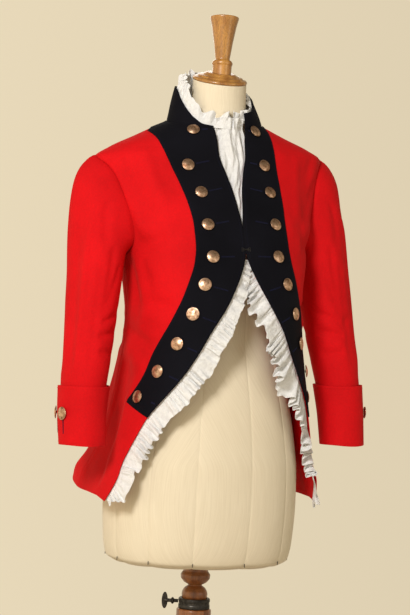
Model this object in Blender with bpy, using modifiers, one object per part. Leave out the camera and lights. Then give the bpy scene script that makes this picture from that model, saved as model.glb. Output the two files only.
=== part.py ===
"""Officer jacket with frilled fronts, worn by a limbless dress form on a turned wooden stand.

Metres, +Z up, the floor at Z = 0 and the stand's axis on X = Y = 0. The front faces -Y and the
wearer's left arm is at +X. Every cloth piece is a thin wall. The body surface is a stack of
rounded sections; the panels, lapels, frills and buttons are all read from it.
"""

import math

import bmesh
import bpy
import numpy as np
from mathutils import Matrix, Vector
from mathutils.bvhtree import BVHTree

CLOTH = 0.0020
LAPEL_CLOTH = 0.0016
FRILL_CLOTH = 0.0010
LAY = 0.0003
SEAM = 0.00025

# Sections of the jacket's outer surface:
# height, half width, front depth, back depth, y of the widest point, roundness
BODY_SECTIONS = (
    (0.680, 0.221, 0.166, 0.216, 0.030, 3.00),
    (0.733, 0.212, 0.175, 0.214, 0.025, 3.00),
    (0.772, 0.201, 0.180, 0.176, 0.015, 2.60),
    (0.810, 0.192, 0.184, 0.143, 0.005, 2.50),
    (0.845, 0.185, 0.186, 0.132, 0.000, 2.40),
    (0.884, 0.177, 0.186, 0.124, 0.000, 2.40),
    (0.930, 0.169, 0.182, 0.116, 0.000, 2.40),
    (0.990, 0.162, 0.180, 0.108, 0.000, 2.30),
    (1.045, 0.160, 0.171, 0.108, 0.000, 2.40),
    (1.080, 0.163, 0.161, 0.112, 0.000, 2.50),
    (1.120, 0.168, 0.149, 0.118, 0.000, 2.60),
    (1.155, 0.173, 0.137, 0.122, 0.002, 2.60),
    (1.195, 0.185, 0.121, 0.125, 0.006, 2.40),
    (1.230, 0.198, 0.106, 0.126, 0.012, 2.20),
    (1.265, 0.211, 0.089, 0.124, 0.018, 2.00),
    (1.300, 0.223, 0.073, 0.118, 0.025, 1.90),
    (1.325, 0.230, 0.064, 0.108, 0.032, 1.85),
    (1.345, 0.200, 0.058, 0.098, 0.036, 1.85),
    (1.365, 0.155, 0.053, 0.090, 0.038, 1.75),
    (1.380, 0.122, 0.049, 0.083, 0.038, 1.65),
    (1.394, 0.091, 0.045, 0.077, 0.036, 1.60),
    (1.410, 0.078, 0.042, 0.074, 0.034, 1.60),
)

# The jacket hangs lower on the wearer's right: height, rise for each metre of +X
LEAN = (
    (0.70, 0.0), (0.85, 0.030), (1.00, 0.048), (1.20, 0.075), (1.33, 0.075), (1.40, 0.062), (1.45, 0.007),
)

# Cut of the front's edge: height, distance from the middle
FRONT_EDGE = (
    (0.694, 0.2125), (0.743, 0.1985), (0.776, 0.1875), (0.816, 0.1740), (0.854, 0.1590),
    (0.888, 0.1390), (0.924, 0.1150), (0.964, 0.0920), (1.008, 0.0697), (1.044, 0.0470),
    (1.079, 0.0270), (1.106, 0.0138), (1.132, 0.0042), (1.150, 0.0012), (1.173, 0.0012),
    (1.200, 0.0024), (1.218, 0.0050), (1.255, 0.0100), (1.290, 0.0182), (1.325, 0.0275),
    (1.353, 0.0290), (1.374, 0.0320),
)

# Outer edge of the dark facing: height, distance from the middle
LAPEL_EDGE = (
    (0.877, 0.1754), (0.898, 0.1680), (0.926, 0.1585), (0.962, 0.1490), (0.994, 0.1385),
    (1.025, 0.1275), (1.061, 0.1150), (1.097, 0.1040), (1.128, 0.0952), (1.159, 0.0912),
    (1.196, 0.0908), (1.237, 0.0942), (1.269, 0.0983), (1.306, 0.1040), (1.343, 0.1095),
    (1.376, 0.1120),
)
# How much wider the right facing lies than the mean, and the left one narrower: height, shift
FACING_SKEW = (
    (1.200, 0.0), (1.237, 0.0022), (1.269, 0.0062), (1.306, 0.0130), (1.343, 0.0195), (1.376, 0.0235),
)

# Armhole: height, angle of its front edge, angle of its back edge, in degrees from the front middle
ARMHOLE = (
    (1.140, 95.0, 95.0), (1.163, 80.0, 111.0), (1.187, 73.5, 117.0), (1.211, 70.5, 119.0),
    (1.235, 69.0, 118.0), (1.259, 68.5, 115.0), (1.283, 69.0, 111.0), (1.307, 73.0, 105.0),
    (1.331, 90.0, 90.0),
)
SIDE_SEAM = 95.0

# Cutting lines across a half: height at the front edge, at the side, at the back, rows up to the next
CUT_LINES = (
    ("hem", 0.694, 0.706, 0.764, 2),
    ("skirt", 0.776, 0.788, 0.815, 3),
    ("facing foot", 0.851, 0.891, 0.895, 5),
    ("waist", 1.004, 1.010, 1.010, 4),
    ("underarm", 1.140, 1.140, 1.140, 8),
    ("shoulder tip", 1.327, 1.331, 1.331, 4),
    ("facing top", 1.3705, 1.3900, 1.3985, 1),
    ("neckline", 1.374, 1.394, 1.402, 0),
)
FACING_COLUMNS = 4
PANEL_COLUMNS = 5
BACK_COLUMNS = 6
FACING_SHARE = 0.60
FACING_FOOT_SHARE = 0.35
SEAM_STRIP = 0.003
VENT_GAP = 0.010

# Collar: angle from the front middle, stand on the right and left, inward lean for each metre up on both
COLLAR_STAND = (
    (0.0, 0.004, 0.030, 0.05, 0.08), (26.0, 0.006, 0.032, 0.10, 0.16), (36.0, 0.015, 0.036, 0.20, 0.30),
    (46.0, 0.027, 0.041, 0.28, 0.41), (60.0, 0.042, 0.048, 0.30, 0.43), (80.0, 0.056, 0.053, 0.28, 0.32),
    (110.0, 0.060, 0.058, 0.15, 0.15), (180.0, 0.060, 0.060, -0.05, -0.05),
)
COLLAR_AXIS_Y = 0.015
COLLAR_ROWS = 3
COLLAR_LIFT = 0.0004

# Sleeve below the cap: height, x, y, half width across, half depth
SLEEVE_SECTIONS = (
    (1.100, 0.2305, 0.001, 0.0490, 0.0600),
    (1.061, 0.2356, -0.006, 0.0470, 0.0570),
    (1.028, 0.2395, -0.013, 0.0455, 0.0545),
    (0.996, 0.2434, -0.020, 0.0445, 0.0520),
    (0.947, 0.2504, -0.032, 0.0425, 0.0485),
    (0.899, 0.2565, -0.042, 0.0395, 0.0450),
    (0.850, 0.2600, -0.052, 0.0382, 0.0432),
    (0.803, 0.2607, -0.0595, 0.0378, 0.0423),
)
CAP_STEPS = (0.12, 0.28, 0.46, 0.64, 0.82)
CAP_REACH = 0.84
CAP_DROP = -0.26
CAP_SPREAD = 0.30
ARMHOLE_GAP = 0.0010

# Cuff: height, x, y, half width across, half depth
CUFF_SECTIONS = (
    (0.798, 0.2607, -0.0600, 0.0405, 0.0450),
    (0.850, 0.2600, -0.0520, 0.0425, 0.0475),
    (0.905, 0.2560, -0.0415, 0.0455, 0.0510),
)
CUFF_BUTTON_ANGLES = (18.0, -25.0)
CUFF_BUTTON_HEIGHT = 0.856

# Front buttons: height, mean distance from the middle, how much further out on the right
FRONT_BUTTONS = (
    (1.370, 0.0600, 0.008), (1.305, 0.0750, 0.012), (1.254, 0.0680, 0.002), (1.195, 0.0665, 0.000),
    (1.137, 0.0640, 0.000), (1.088, 0.0800, 0.000), (1.036, 0.0990, 0.000), (0.983, 0.1195, 0.000),
    (0.933, 0.1440, 0.000), (0.886, 0.1660, 0.000),
)
# Turned button, from its shank's foot up: radius, height
BUTTON_PROFILE = ((0.0025, 0.0), (0.0025, 0.0012), (0.0108, 0.0016), (0.0104, 0.0030), (0.0058, 0.0046))
BUTTON_TOP = 0.0051
BUTTON_SIDES = 10
BUTTON_LIFT = 0.0007
BUTTON_SEARCH = 0.02

# Frill of the front's edge
FRILL_TOP = 1.104
FRILL_TUCK = 0.006
FRILL_WIDTH = 0.036
FRILL_TOP_WIDTH = 0.010
FRILL_TIP_SHARE = 0.06
FRILL_LAY = 0.0011
FRILL_WAVES = 26
FRILL_WAVE = 0.0055
STEPS_A_WAVE = 4

# Frill of the neck
NECK_FRILL_WAVES = 16
NECK_FRILL_ROOT = 0.45
NECK_FRILL_WAVE = 0.0030
NECK_FRILL_FRONT = 27.0
NECK_FRILL_LEAST = 0.006
NECK_FRILL_LAY = 0.0014
# angle from the front middle, height of the free edge on the right and left, how far inside the collar
NECK_FRILL_EDGE = (
    (27.0, 1.402, 1.402, -0.0020), (40.0, 1.418, 1.412, -0.0015), (60.0, 1.448, 1.430, 0.0020),
    (90.0, 1.468, 1.450, 0.0055), (130.0, 1.482, 1.476, 0.0060), (180.0, 1.490, 1.490, 0.0060),
)

# Gathered neckcloth between the fronts
# height, half width past the front's edge, depth under the cloth, how far its middle swells out
JABOT_ROWS = (
    (1.148, 0.012, 0.0036, 0.000), (1.172, 0.012, 0.0036, 0.000), (1.200, 0.012, 0.0036, 0.001),
    (1.232, 0.012, 0.0036, 0.002), (1.265, 0.012, 0.0036, 0.003), (1.300, 0.012, 0.0038, 0.005),
    (1.332, 0.009, 0.0038, 0.008), (1.356, 0.004, 0.0040, 0.010), (1.378, -0.003, 0.0040, 0.012),
    (1.404, -0.003, -0.0010, 0.013),
)
JABOT_COLUMNS = 16
JABOT_FOLDS = 4.0
JABOT_FOLD = 0.0022

# Sections of the dress form: height, half width, front depth, back depth, y of the widest, roundness
FORM_SECTIONS = (
    (0.5790, 0.156, 0.120, 0.120, 0.000, 2.2),
    (0.5890, 0.171, 0.136, 0.136, 0.000, 2.2),
    (0.6300, 0.178, 0.144, 0.144, 0.000, 2.2),
    (0.6900, 0.181, 0.147, 0.147, 0.000, 2.2),
    (0.7550, 0.179, 0.147, 0.148, 0.000, 2.2),
    (0.8000, 0.173, 0.143, 0.136, 0.000, 2.2),
    (0.8560, 0.163, 0.135, 0.122, 0.000, 2.2),
    (0.9300, 0.145, 0.120, 0.104, 0.000, 2.2),
    (1.0000, 0.130, 0.108, 0.094, 0.000, 2.2),
    (1.0500, 0.131, 0.110, 0.094, 0.000, 2.2),
    (1.1000, 0.140, 0.114, 0.100, 0.000, 2.2),
    (1.1500, 0.148, 0.108, 0.106, 0.000, 2.2),
    (1.2000, 0.155, 0.090, 0.108, 0.004, 2.1),
    (1.2500, 0.165, 0.068, 0.106, 0.010, 2.0),
    (1.2950, 0.175, 0.050, 0.100, 0.020, 2.0),
    (1.3250, 0.180, 0.038, 0.092, 0.030, 2.0),
)
# Rows under the shoulders: height, clearance to the cloth
SHOULDER_ROWS = ((1.346, 0.006), (1.360, 0.004), (1.374, 0.0015), (1.386, 0.0004))
FORM_FRONT_CLEARANCE = 0.012
FORM_BACK_CLEARANCE = 0.004
# Neck: height, radius; its top is cut on a slope
NECK_SECTIONS = ((1.400, 0.0525), (1.420, 0.0510), (1.440, 0.0503))
NECK_Y = 0.0075
NECK_TOP = 1.4680
NECK_TOP_RADIUS = 0.0500
NECK_SLOPE = math.tan(math.radians(16.5))
NECK_LEAN = 0.055
FORM_SIDES = 24

# Turned pieces of the stand: radius, height
CAP_PROFILE = ((0.0505, 0.0003), (0.0510, 0.0030), (0.0495, 0.0062), (0.0420, 0.0078), (0.0400, 0.0105),
               (0.0310, 0.0128), (0.0270, 0.0160))
FINIAL_PROFILE = ((0.0170, 1.4700), (0.0178, 1.4960), (0.0190, 1.5010), (0.0172, 1.5050), (0.0136, 1.5072),
                  (0.0140, 1.5130), (0.0178, 1.5400), (0.0232, 1.5700), (0.0270, 1.5850), (0.0262, 1.5875))
POLE_PROFILE = ((0.0230, 0.5787), (0.0230, 0.5590), (0.0275, 0.5540), (0.0268, 0.5465), (0.0205, 0.5390),
                (0.0125, 0.5345), (0.0190, 0.5290), (0.0236, 0.5210), (0.0238, 0.5150), (0.0222, 0.5095),
                (0.0222, 0.4913))
COLUMN_PROFILE = ((0.0300, 0.4910), (0.0320, 0.4890), (0.0320, 0.3400), (0.0260, 0.3300), (0.0340, 0.3180),
                  (0.0340, 0.3100), (0.0240, 0.2980), (0.0240, 0.1300), (0.0330, 0.1100), (0.0400, 0.0700),
                  (0.0400, 0.0343))
BASE_PROFILE = ((0.0600, 0.0340), (0.0720, 0.0310), (0.2080, 0.0240), (0.2240, 0.0180), (0.2300, 0.0090),
                (0.2260, 0.0))
CLAMP_INNER = 0.0241
CLAMP_OUTER = 0.0292
CLAMP_LOW = 0.4913
CLAMP_HIGH = 0.5100
SCREW_DIRECTION = Vector((-0.906, 0.423, 0.0))
SCREW_HEIGHT = 0.5030
SCREW_RADIUS = 0.0032
SCREW_REACH = 0.0180
SCREW_BEAD = 0.0062
WING_LENGTH = 0.038
WING_DEPTH = 0.014
WING_THICKNESS = 0.0045


def smooth(table, column, at):
    """Monotone cubic through one column of a table, at one or many values of its first column."""
    xs = np.array([row[0] for row in table], float)
    ys = np.array([row[column] for row in table], float)
    at = np.clip(np.asarray(at, float), xs[0], xs[-1])
    steps = np.diff(xs)
    rates = np.diff(ys) / steps
    slopes = np.zeros_like(ys)
    for i in range(1, len(xs) - 1):
        if rates[i - 1] * rates[i] > 0:
            before = 2 * steps[i] + steps[i - 1]
            after = steps[i] + 2 * steps[i - 1]
            slopes[i] = (before + after) / (before / rates[i - 1] + after / rates[i])
    slopes[0], slopes[-1] = rates[0], rates[-1]
    i = np.clip(np.searchsorted(xs, at, side="right") - 1, 0, len(xs) - 2)
    t = (at - xs[i]) / steps[i]
    start = ys[i] * (1 + 2 * t) * (1 - t) ** 2 + slopes[i] * steps[i] * t * (1 - t) ** 2
    end = ys[i + 1] * t * t * (3 - 2 * t) + slopes[i + 1] * steps[i] * t * t * (t - 1)
    return start + end


def section_points(table, angle, height):
    """Points of a stack of rounded sections, angle 0 at the front middle and pi at the back."""
    angle = np.asarray(angle, float)
    height = np.asarray(height, float)
    half, front, back, side_y, power = (smooth(table, k, height) for k in range(1, 6))
    sine, cosine = np.sin(angle), np.cos(angle)
    x = half * np.sign(sine) * np.abs(sine) ** (2 / power)
    reach = np.abs(cosine) ** (2 / power)
    y = np.where(cosine > 0, side_y - (front + side_y) * reach, side_y + (back - side_y) * reach)
    return np.stack(np.broadcast_arrays(x, y, height), -1)


def body_points(angle, height):
    """Points on the jacket's outer surface, on the half at +X."""
    return section_points(BODY_SECTIONS, angle, height)


def body_normals(angle, height, turn=0.03, lift=0.002):
    """Outward unit normals of the jacket's outer surface."""
    around = body_points(angle + turn, height) - body_points(angle - turn, height)
    up = body_points(angle, height + lift) - body_points(angle, height - lift)
    normal = np.cross(around, up)
    return normal / np.linalg.norm(normal, axis=-1, keepdims=True)


def angle_at(x, height):
    """Angle on the front half at which the body surface is x from the middle."""
    half = smooth(BODY_SECTIONS, 1, height)
    power = smooth(BODY_SECTIONS, 5, height)
    return np.arcsin(np.clip(x / half, 0, 1) ** (power / 2))


def lean(points):
    """Tip the whole garment as it hangs in the photograph, lower at -X."""
    points = np.array(points, float)
    heights = np.array([row[0] for row in LEAN])
    rises = np.array([row[1] for row in LEAN])
    points[..., 2] += np.interp(points[..., 2], heights, rises) * points[..., 0]
    return points


def place(points, side):
    """Points of the +X half, mirrored for side -1, leaned."""
    return lean(np.asarray(points, float) * np.array([side, 1.0, 1.0]))


def grid_normals(grid, wrap=False):
    """Unit normals of a grid of rows that rise and columns that run anticlockwise from above."""
    up = np.gradient(grid, axis=0)
    if wrap:
        around = np.roll(grid, -1, axis=1) - np.roll(grid, 1, axis=1)
    else:
        around = np.gradient(grid, axis=1)
    normal = np.cross(around, up)
    return normal / np.linalg.norm(normal, axis=-1, keepdims=True)


def material(name, colour, roughness, metallic=0.0):
    """Principled material of one finish, made once."""
    found = bpy.data.materials.get(name)
    if found:
        return found
    made = bpy.data.materials.new(name)
    made.use_nodes = True
    shader = made.node_tree.nodes["Principled BSDF"]
    shader.inputs["Base Color"].default_value = (*colour, 1.0)
    shader.inputs["Roughness"].default_value = roughness
    shader.inputs["Metallic"].default_value = metallic
    made.diffuse_color = (*colour, 1.0)
    return made


def scarlet():
    """Scarlet wool."""
    return material("scarlet_wool", (0.72, 0.008, 0.012), 0.9)


def navy():
    """Blue-black wool."""
    return material("navy_wool", (0.008, 0.009, 0.018), 0.85)


def muslin():
    """White cotton."""
    return material("white_cotton", (0.82, 0.82, 0.83), 0.9)


def linen():
    """Cream covering of the form."""
    return material("cream_linen", (0.80, 0.72, 0.56), 0.8)


def light_wood():
    """Honey-coloured varnished wood."""
    return material("honey_wood", (0.50, 0.24, 0.06), 0.4)


def dark_wood():
    """Red-brown varnished wood."""
    return material("brown_wood", (0.30, 0.11, 0.03), 0.4)


def brass():
    """Worn brass."""
    return material("worn_brass", (0.62, 0.42, 0.25), 0.35, 1.0)


def iron():
    """Black iron."""
    return material("black_iron", (0.03, 0.028, 0.026), 0.45, 0.8)


def add_object(mesh, name, finish):
    """Object for a mesh, in the jacket's collection, shaded smooth but for sharp edges."""
    thing = bpy.data.objects.new(name, mesh)
    PIECES.objects.link(thing)
    mesh.materials.append(finish)
    mesh.shade_smooth()
    mesh.set_sharp_from_angle(angle=math.radians(50))
    return thing


def cloth_wall(name, outer, inner, finish, wrap=False, flip=False):
    """Closed wall between an outer and an inner grid of points, lofted so seams share their ends."""
    rows, columns = outer.shape[:2]
    mesh = bmesh.new()
    sheets = [[[mesh.verts.new(point) for point in row] for row in sheet] for sheet in (outer, inner)]
    last = columns if wrap else columns - 1

    def quad(a, b, c, d):
        for corners in ((a, b, c), (a, c, d)):
            mesh.faces.new(corners[::-1] if flip else corners)

    front, back = sheets
    for r in range(rows - 1):
        for c in range(last):
            n = (c + 1) % columns
            quad(front[r][c], front[r][n], front[r + 1][n], front[r + 1][c])
            quad(back[r][c], back[r + 1][c], back[r + 1][n], back[r][n])
    for c in range(last):
        n = (c + 1) % columns
        quad(back[0][c], back[0][n], front[0][n], front[0][c])
        quad(front[-1][c], front[-1][n], back[-1][n], back[-1][c])
    if not wrap:
        for r in range(rows - 1):
            quad(back[r][0], front[r][0], front[r + 1][0], back[r + 1][0])
            quad(front[r][-1], back[r][-1], back[r + 1][-1], front[r + 1][-1])
    data = bpy.data.meshes.new(name)
    mesh.to_mesh(data)
    mesh.free()
    return add_object(data, name, finish)


def cut_rows():
    """Heights at the front edge, the side and the back of each row of a half, and its named rows."""
    heights = []
    named = {}
    for line, after in zip(CUT_LINES, CUT_LINES[1:] + (None,)):
        named[line[0]] = len(heights)
        start = np.array(line[1:4])
        for k in range(max(line[4], 1)):
            share = k / max(line[4], 1)
            heights.append(start if after is None else start + (np.array(after[1:4]) - start) * share)
    return heights, named


ROW_HEIGHTS, NAMED_ROWS = cut_rows()


def stretch(angles, heights, count, trims=(0.0, 0.0)):
    """Angles and heights of points spread evenly along the surface from one place to another."""
    share = np.linspace(0, 1, 60)
    turn = angles[0] + (angles[1] - angles[0]) * share
    rise = heights[0] + (heights[1] - heights[0]) * share
    steps = np.linalg.norm(np.diff(body_points(turn, rise), axis=0), axis=1)
    run = np.concatenate(([0.0], np.cumsum(steps)))
    marks = np.interp(np.linspace(trims[0], run[-1] - trims[1], count + 1), run, share)
    return np.interp(marks, share, turn), np.interp(marks, share, rise)


def seam_angles(row):
    """Angles at which the front ends and the back begins on a row."""
    height = ROW_HEIGHTS[row][1]
    if row <= NAMED_ROWS["underarm"]:
        return math.radians(SIDE_SEAM), math.radians(SIDE_SEAM)
    if row >= NAMED_ROWS["shoulder tip"]:
        return math.pi / 2, math.pi / 2
    return math.radians(smooth(ARMHOLE, 1, height)), math.radians(smooth(ARMHOLE, 2, height))


def front_lattice(side_sign):
    """Angles and heights of a front panel's points: the facing's columns, then the rest."""
    angles, heights = [], []
    for row, (edge, side, _) in enumerate(ROW_HEIGHTS):
        start = angle_at(smooth(FRONT_EDGE, 1, edge), edge)
        end = seam_angles(row)[0]
        middle_height = edge + FACING_SHARE * (side - edge)
        if row < NAMED_ROWS["facing foot"]:
            middle = start + (end - start) * FACING_FOOT_SHARE
        else:
            skew = smooth(FACING_SKEW, 1, middle_height) * -side_sign
            middle = float(angle_at(smooth(LAPEL_EDGE, 1, middle_height) + skew, middle_height))
            turn, rise = stretch((end, start), (side, edge), 1, (SEAM_STRIP, 0.0))
            if turn[0] < middle:
                middle, middle_height = turn[0], rise[0]
        first = stretch((start, middle), (edge, middle_height), FACING_COLUMNS)
        second = stretch((middle, end), (middle_height, side), PANEL_COLUMNS, (0.0, SEAM))
        angles.append(np.concatenate((first[0], second[0][1:])))
        heights.append(np.concatenate((first[1], second[1][1:])))
    return np.array(angles), np.array(heights)


def back_lattice():
    """Angles and heights of the back panel's points, with the vent left open below the waist."""
    angles, heights = [], []
    for row, (_, side, back) in enumerate(ROW_HEIGHTS):
        depth = np.clip((NAMED_ROWS["waist"] - row) / NAMED_ROWS["waist"], 0, 1)
        trims = (SEAM, SEAM + VENT_GAP * depth)
        turn, rise = stretch((seam_angles(row)[1], math.pi), (side, back), BACK_COLUMNS, trims)
        angles.append(turn)
        heights.append(rise)
    return np.array(angles), np.array(heights)


BACK_ANGLES, BACK_HEIGHTS = back_lattice()
BACK_POINTS = body_points(BACK_ANGLES, BACK_HEIGHTS)
BACK_NORMALS = body_normals(BACK_ANGLES, BACK_HEIGHTS)
FRONT_ANGLES = {}
FRONT_POINTS = {}
FRONT_NORMALS = {}
for hand in (-1, 1):
    panel_angles, panel_heights = front_lattice(hand)
    FRONT_ANGLES[hand] = panel_angles
    FRONT_POINTS[hand] = body_points(panel_angles, panel_heights)
    FRONT_NORMALS[hand] = body_normals(panel_angles, panel_heights)


def side_name(side):
    """The wearer's side of a piece at side * X."""
    return "left" if side > 0 else "right"


def make_front(side):
    """Front panel of one side, from its curved edge to the side and shoulder seams."""
    outer = FRONT_POINTS[side]
    inner = outer - CLOTH * FRONT_NORMALS[side]
    cloth_wall(f"front_{side_name(side)}", place(outer, side), place(inner, side), scarlet(), flip=side < 0)


def make_back(side):
    """Back panel of one side, from the side seam to the middle seam and its vent."""
    outer = BACK_POINTS
    inner = outer - CLOTH * BACK_NORMALS
    cloth_wall(f"back_{side_name(side)}", place(outer, side), place(inner, side), scarlet(), flip=side < 0)


def make_lapel(side):
    """Dark facing, laid on the front panel's own points and moved out."""
    low, high = NAMED_ROWS["facing foot"], NAMED_ROWS["facing top"]
    base = FRONT_POINTS[side][low : high + 1, : FACING_COLUMNS + 1]
    normals = FRONT_NORMALS[side][low : high + 1, : FACING_COLUMNS + 1]
    outer = base + (LAY + LAPEL_CLOTH) * normals
    inner = base + LAY * normals
    cloth_wall(f"lapel_{side_name(side)}", place(outer, side), place(inner, side), navy(), flip=side < 0)


def neck_stations():
    """Side, angle and point of each place on the neckline, from the right front edge to the left one."""
    stations = []
    for side in (-1, 1):
        angles = list(FRONT_ANGLES[side][-1]) + list(BACK_ANGLES[-1][1:-1])
        points = list(FRONT_POINTS[side][-1]) + list(BACK_POINTS[-1][1:-1])
        if side < 0:
            angles.append(math.pi)
            points.append(body_points(math.pi, ROW_HEIGHTS[-1][2]))
        half = list(zip([side] * len(angles), angles, points))
        stations += half if side < 0 else half[::-1]
    return stations


def inward_from(point):
    """Level unit direction from a point towards the middle of the neck."""
    direction = np.array([-point[0], COLLAR_AXIS_Y - point[1], 0.0])
    return direction / np.linalg.norm(direction)


def collar_grid():
    """Rows of the collar's outer surface, from the neckline to its top edge."""
    rows = []
    for share in np.linspace(0, 1, COLLAR_ROWS + 1):
        row = []
        for side, angle, base in neck_stations():
            degrees = math.degrees(angle)
            column = 1 if side < 0 else 2
            stand = float(smooth(COLLAR_STAND, column, degrees)) * share
            point = base + inward_from(base) * float(smooth(COLLAR_STAND, column + 2, degrees)) * stand
            point[2] += stand + COLLAR_LIFT
            row.append(point * np.array([side, 1.0, 1.0]))
        rows.append(row)
    return np.array(rows)


def make_collar():
    """Standing collar, one band round the neck from front edge to front edge."""
    outer = collar_grid()
    inner = outer + CLOTH * grid_normals(outer)
    cloth_wall("collar", lean(outer), lean(inner), navy(), flip=True)


def armhole_loop(side):
    """Armhole's points on the +X half: shoulder tip, down the front edge, up the back edge."""
    low, high = NAMED_ROWS["underarm"], NAMED_ROWS["shoulder tip"]
    front = FRONT_POINTS[side][low : high + 1, -1]
    back = BACK_POINTS[low : high + 1, 0]
    loop = np.concatenate((front[::-1], back[1:-1]))
    centre = loop.mean(axis=0)
    inward = centre - loop
    inward /= np.linalg.norm(inward, axis=1, keepdims=True)
    return loop + ARMHOLE_GAP * inward, centre


def tube_ring(section, columns):
    """Level ring of a sleeve or cuff section: outside, front, inside, back."""
    height, x, y, across, deep = section
    turn = np.arange(columns) * 2 * math.pi / columns
    return np.stack((x + across * np.cos(turn), y - deep * np.sin(turn), np.full(columns, height)), -1)


def make_sleeve(side):
    """Sleeve: a rounded cap from the armhole, then a tube that comes forward to the wrist."""
    loop, centre = armhole_loop(side)
    columns = len(loop)
    rings = [tube_ring(section, columns) for section in SLEEVE_SECTIONS]
    reach = np.linalg.norm(rings[0] - loop, axis=1)
    deep = SLEEVE_SECTIONS[0][4]
    spread = CAP_SPREAD * (loop[:, 1] - centre[1]) / deep
    start = np.stack((np.ones(columns), spread, np.full(columns, CAP_DROP)), -1)
    start *= (CAP_REACH * reach / np.linalg.norm(start, axis=1))[:, None]
    end = rings[1] - rings[0]
    end *= (reach / np.linalg.norm(end, axis=1))[:, None]
    cap = [loop]
    for t in CAP_STEPS:
        part = (2 * t**3 - 3 * t**2 + 1) * loop + (t**3 - 2 * t**2 + t) * start
        cap.append(part + (3 * t**2 - 2 * t**3) * rings[0] + (t**3 - t**2) * end)
    outer = np.array((cap + rings)[::-1])
    inner = outer + CLOTH * grid_normals(outer, wrap=True)
    cloth_wall(f"sleeve_{side_name(side)}", place(outer, side), place(inner, side), scarlet(), True, side > 0)


def cuff_grid(side):
    """Rings of the cuff's outer surface."""
    columns = len(armhole_loop(side)[0])
    return np.array([tube_ring(section, columns) for section in CUFF_SECTIONS])


def make_cuff(side):
    """Turned-back cuff round the end of the sleeve, open at the top."""
    outer = cuff_grid(side)
    inner = outer + CLOTH * grid_normals(outer, wrap=True)
    cloth_wall(f"cuff_{side_name(side)}", place(outer, side), place(inner, side), scarlet(), True, side > 0)


def button_mesh():
    """Domed button on a short shank, turned about its own Z."""
    mesh = bmesh.new()
    rings = []
    for radius, height in BUTTON_PROFILE:
        turns = [2 * math.pi * k / BUTTON_SIDES for k in range(BUTTON_SIDES)]
        rings.append([mesh.verts.new((radius * math.cos(t), radius * math.sin(t), height)) for t in turns])
    for low, high in zip(rings, rings[1:]):
        for k in range(BUTTON_SIDES):
            n = (k + 1) % BUTTON_SIDES
            mesh.faces.new((low[k], low[n], high[n], high[k]))
    mesh.faces.new(rings[0][::-1])
    crown = mesh.verts.new((0, 0, BUTTON_TOP))
    for k in range(BUTTON_SIDES):
        mesh.faces.new((rings[-1][k], rings[-1][(k + 1) % BUTTON_SIDES], crown))
    data = bpy.data.meshes.new("button")
    mesh.to_mesh(data)
    mesh.free()
    return data


def cloth_tree(grid, wrap=False):
    """Search tree of a grid's triangles, split as its wall splits them."""
    rows, columns = grid.shape[:2]
    corners = []
    for r in range(rows - 1):
        for c in range(columns if wrap else columns - 1):
            n = (c + 1) % columns
            here, beside = r * columns + c, r * columns + n
            corners.append((here, beside, beside + columns))
            corners.append((here, beside + columns, here + columns))
    return BVHTree.FromPolygons(grid.reshape(-1, 3).tolist(), corners)


def seat_button(name, tree, point, normal):
    """One button, standing on the cloth under a point."""
    normal = Vector(normal).normalized()
    spot, _, _, _ = tree.ray_cast(Vector(point) + normal * BUTTON_SEARCH, -normal)
    thing = add_object(button_mesh(), name, brass())
    turn = normal.to_track_quat("Z", "Y").to_matrix().to_4x4()
    thing.matrix_world = Matrix.Translation(spot + normal * BUTTON_LIFT) @ turn


def make_buttons(side):
    """Ten buttons down the facing and two on the cuff."""
    flip = np.array([side, 1.0, 1.0])
    facing = cloth_tree(place(FRONT_POINTS[side] + (LAY + LAPEL_CLOTH) * FRONT_NORMALS[side], side))
    for number, (height, mean, skew) in enumerate(FRONT_BUTTONS, 1):
        angle = float(angle_at(mean - side * skew, height))
        normal = body_normals(angle, height) * flip
        point = place(body_points(angle, height), side)
        seat_button(f"button_{side_name(side)}_{number:02d}", facing, point, normal)
    cuff = cloth_tree(place(cuff_grid(side), side), wrap=True)
    x, y, across, deep = (float(smooth(CUFF_SECTIONS, k, CUFF_BUTTON_HEIGHT)) for k in range(1, 5))
    for number, degrees in enumerate(CUFF_BUTTON_ANGLES, 1):
        turn = math.radians(degrees)
        normal = np.array([math.cos(turn) / across, -math.sin(turn) / deep, 0.0]) * flip
        point = np.array([x + across * math.cos(turn), y - deep * math.sin(turn), CUFF_BUTTON_HEIGHT])
        seat_button(f"cuff_button_{side_name(side)}_{number}", cuff, place(point, side), normal)


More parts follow.
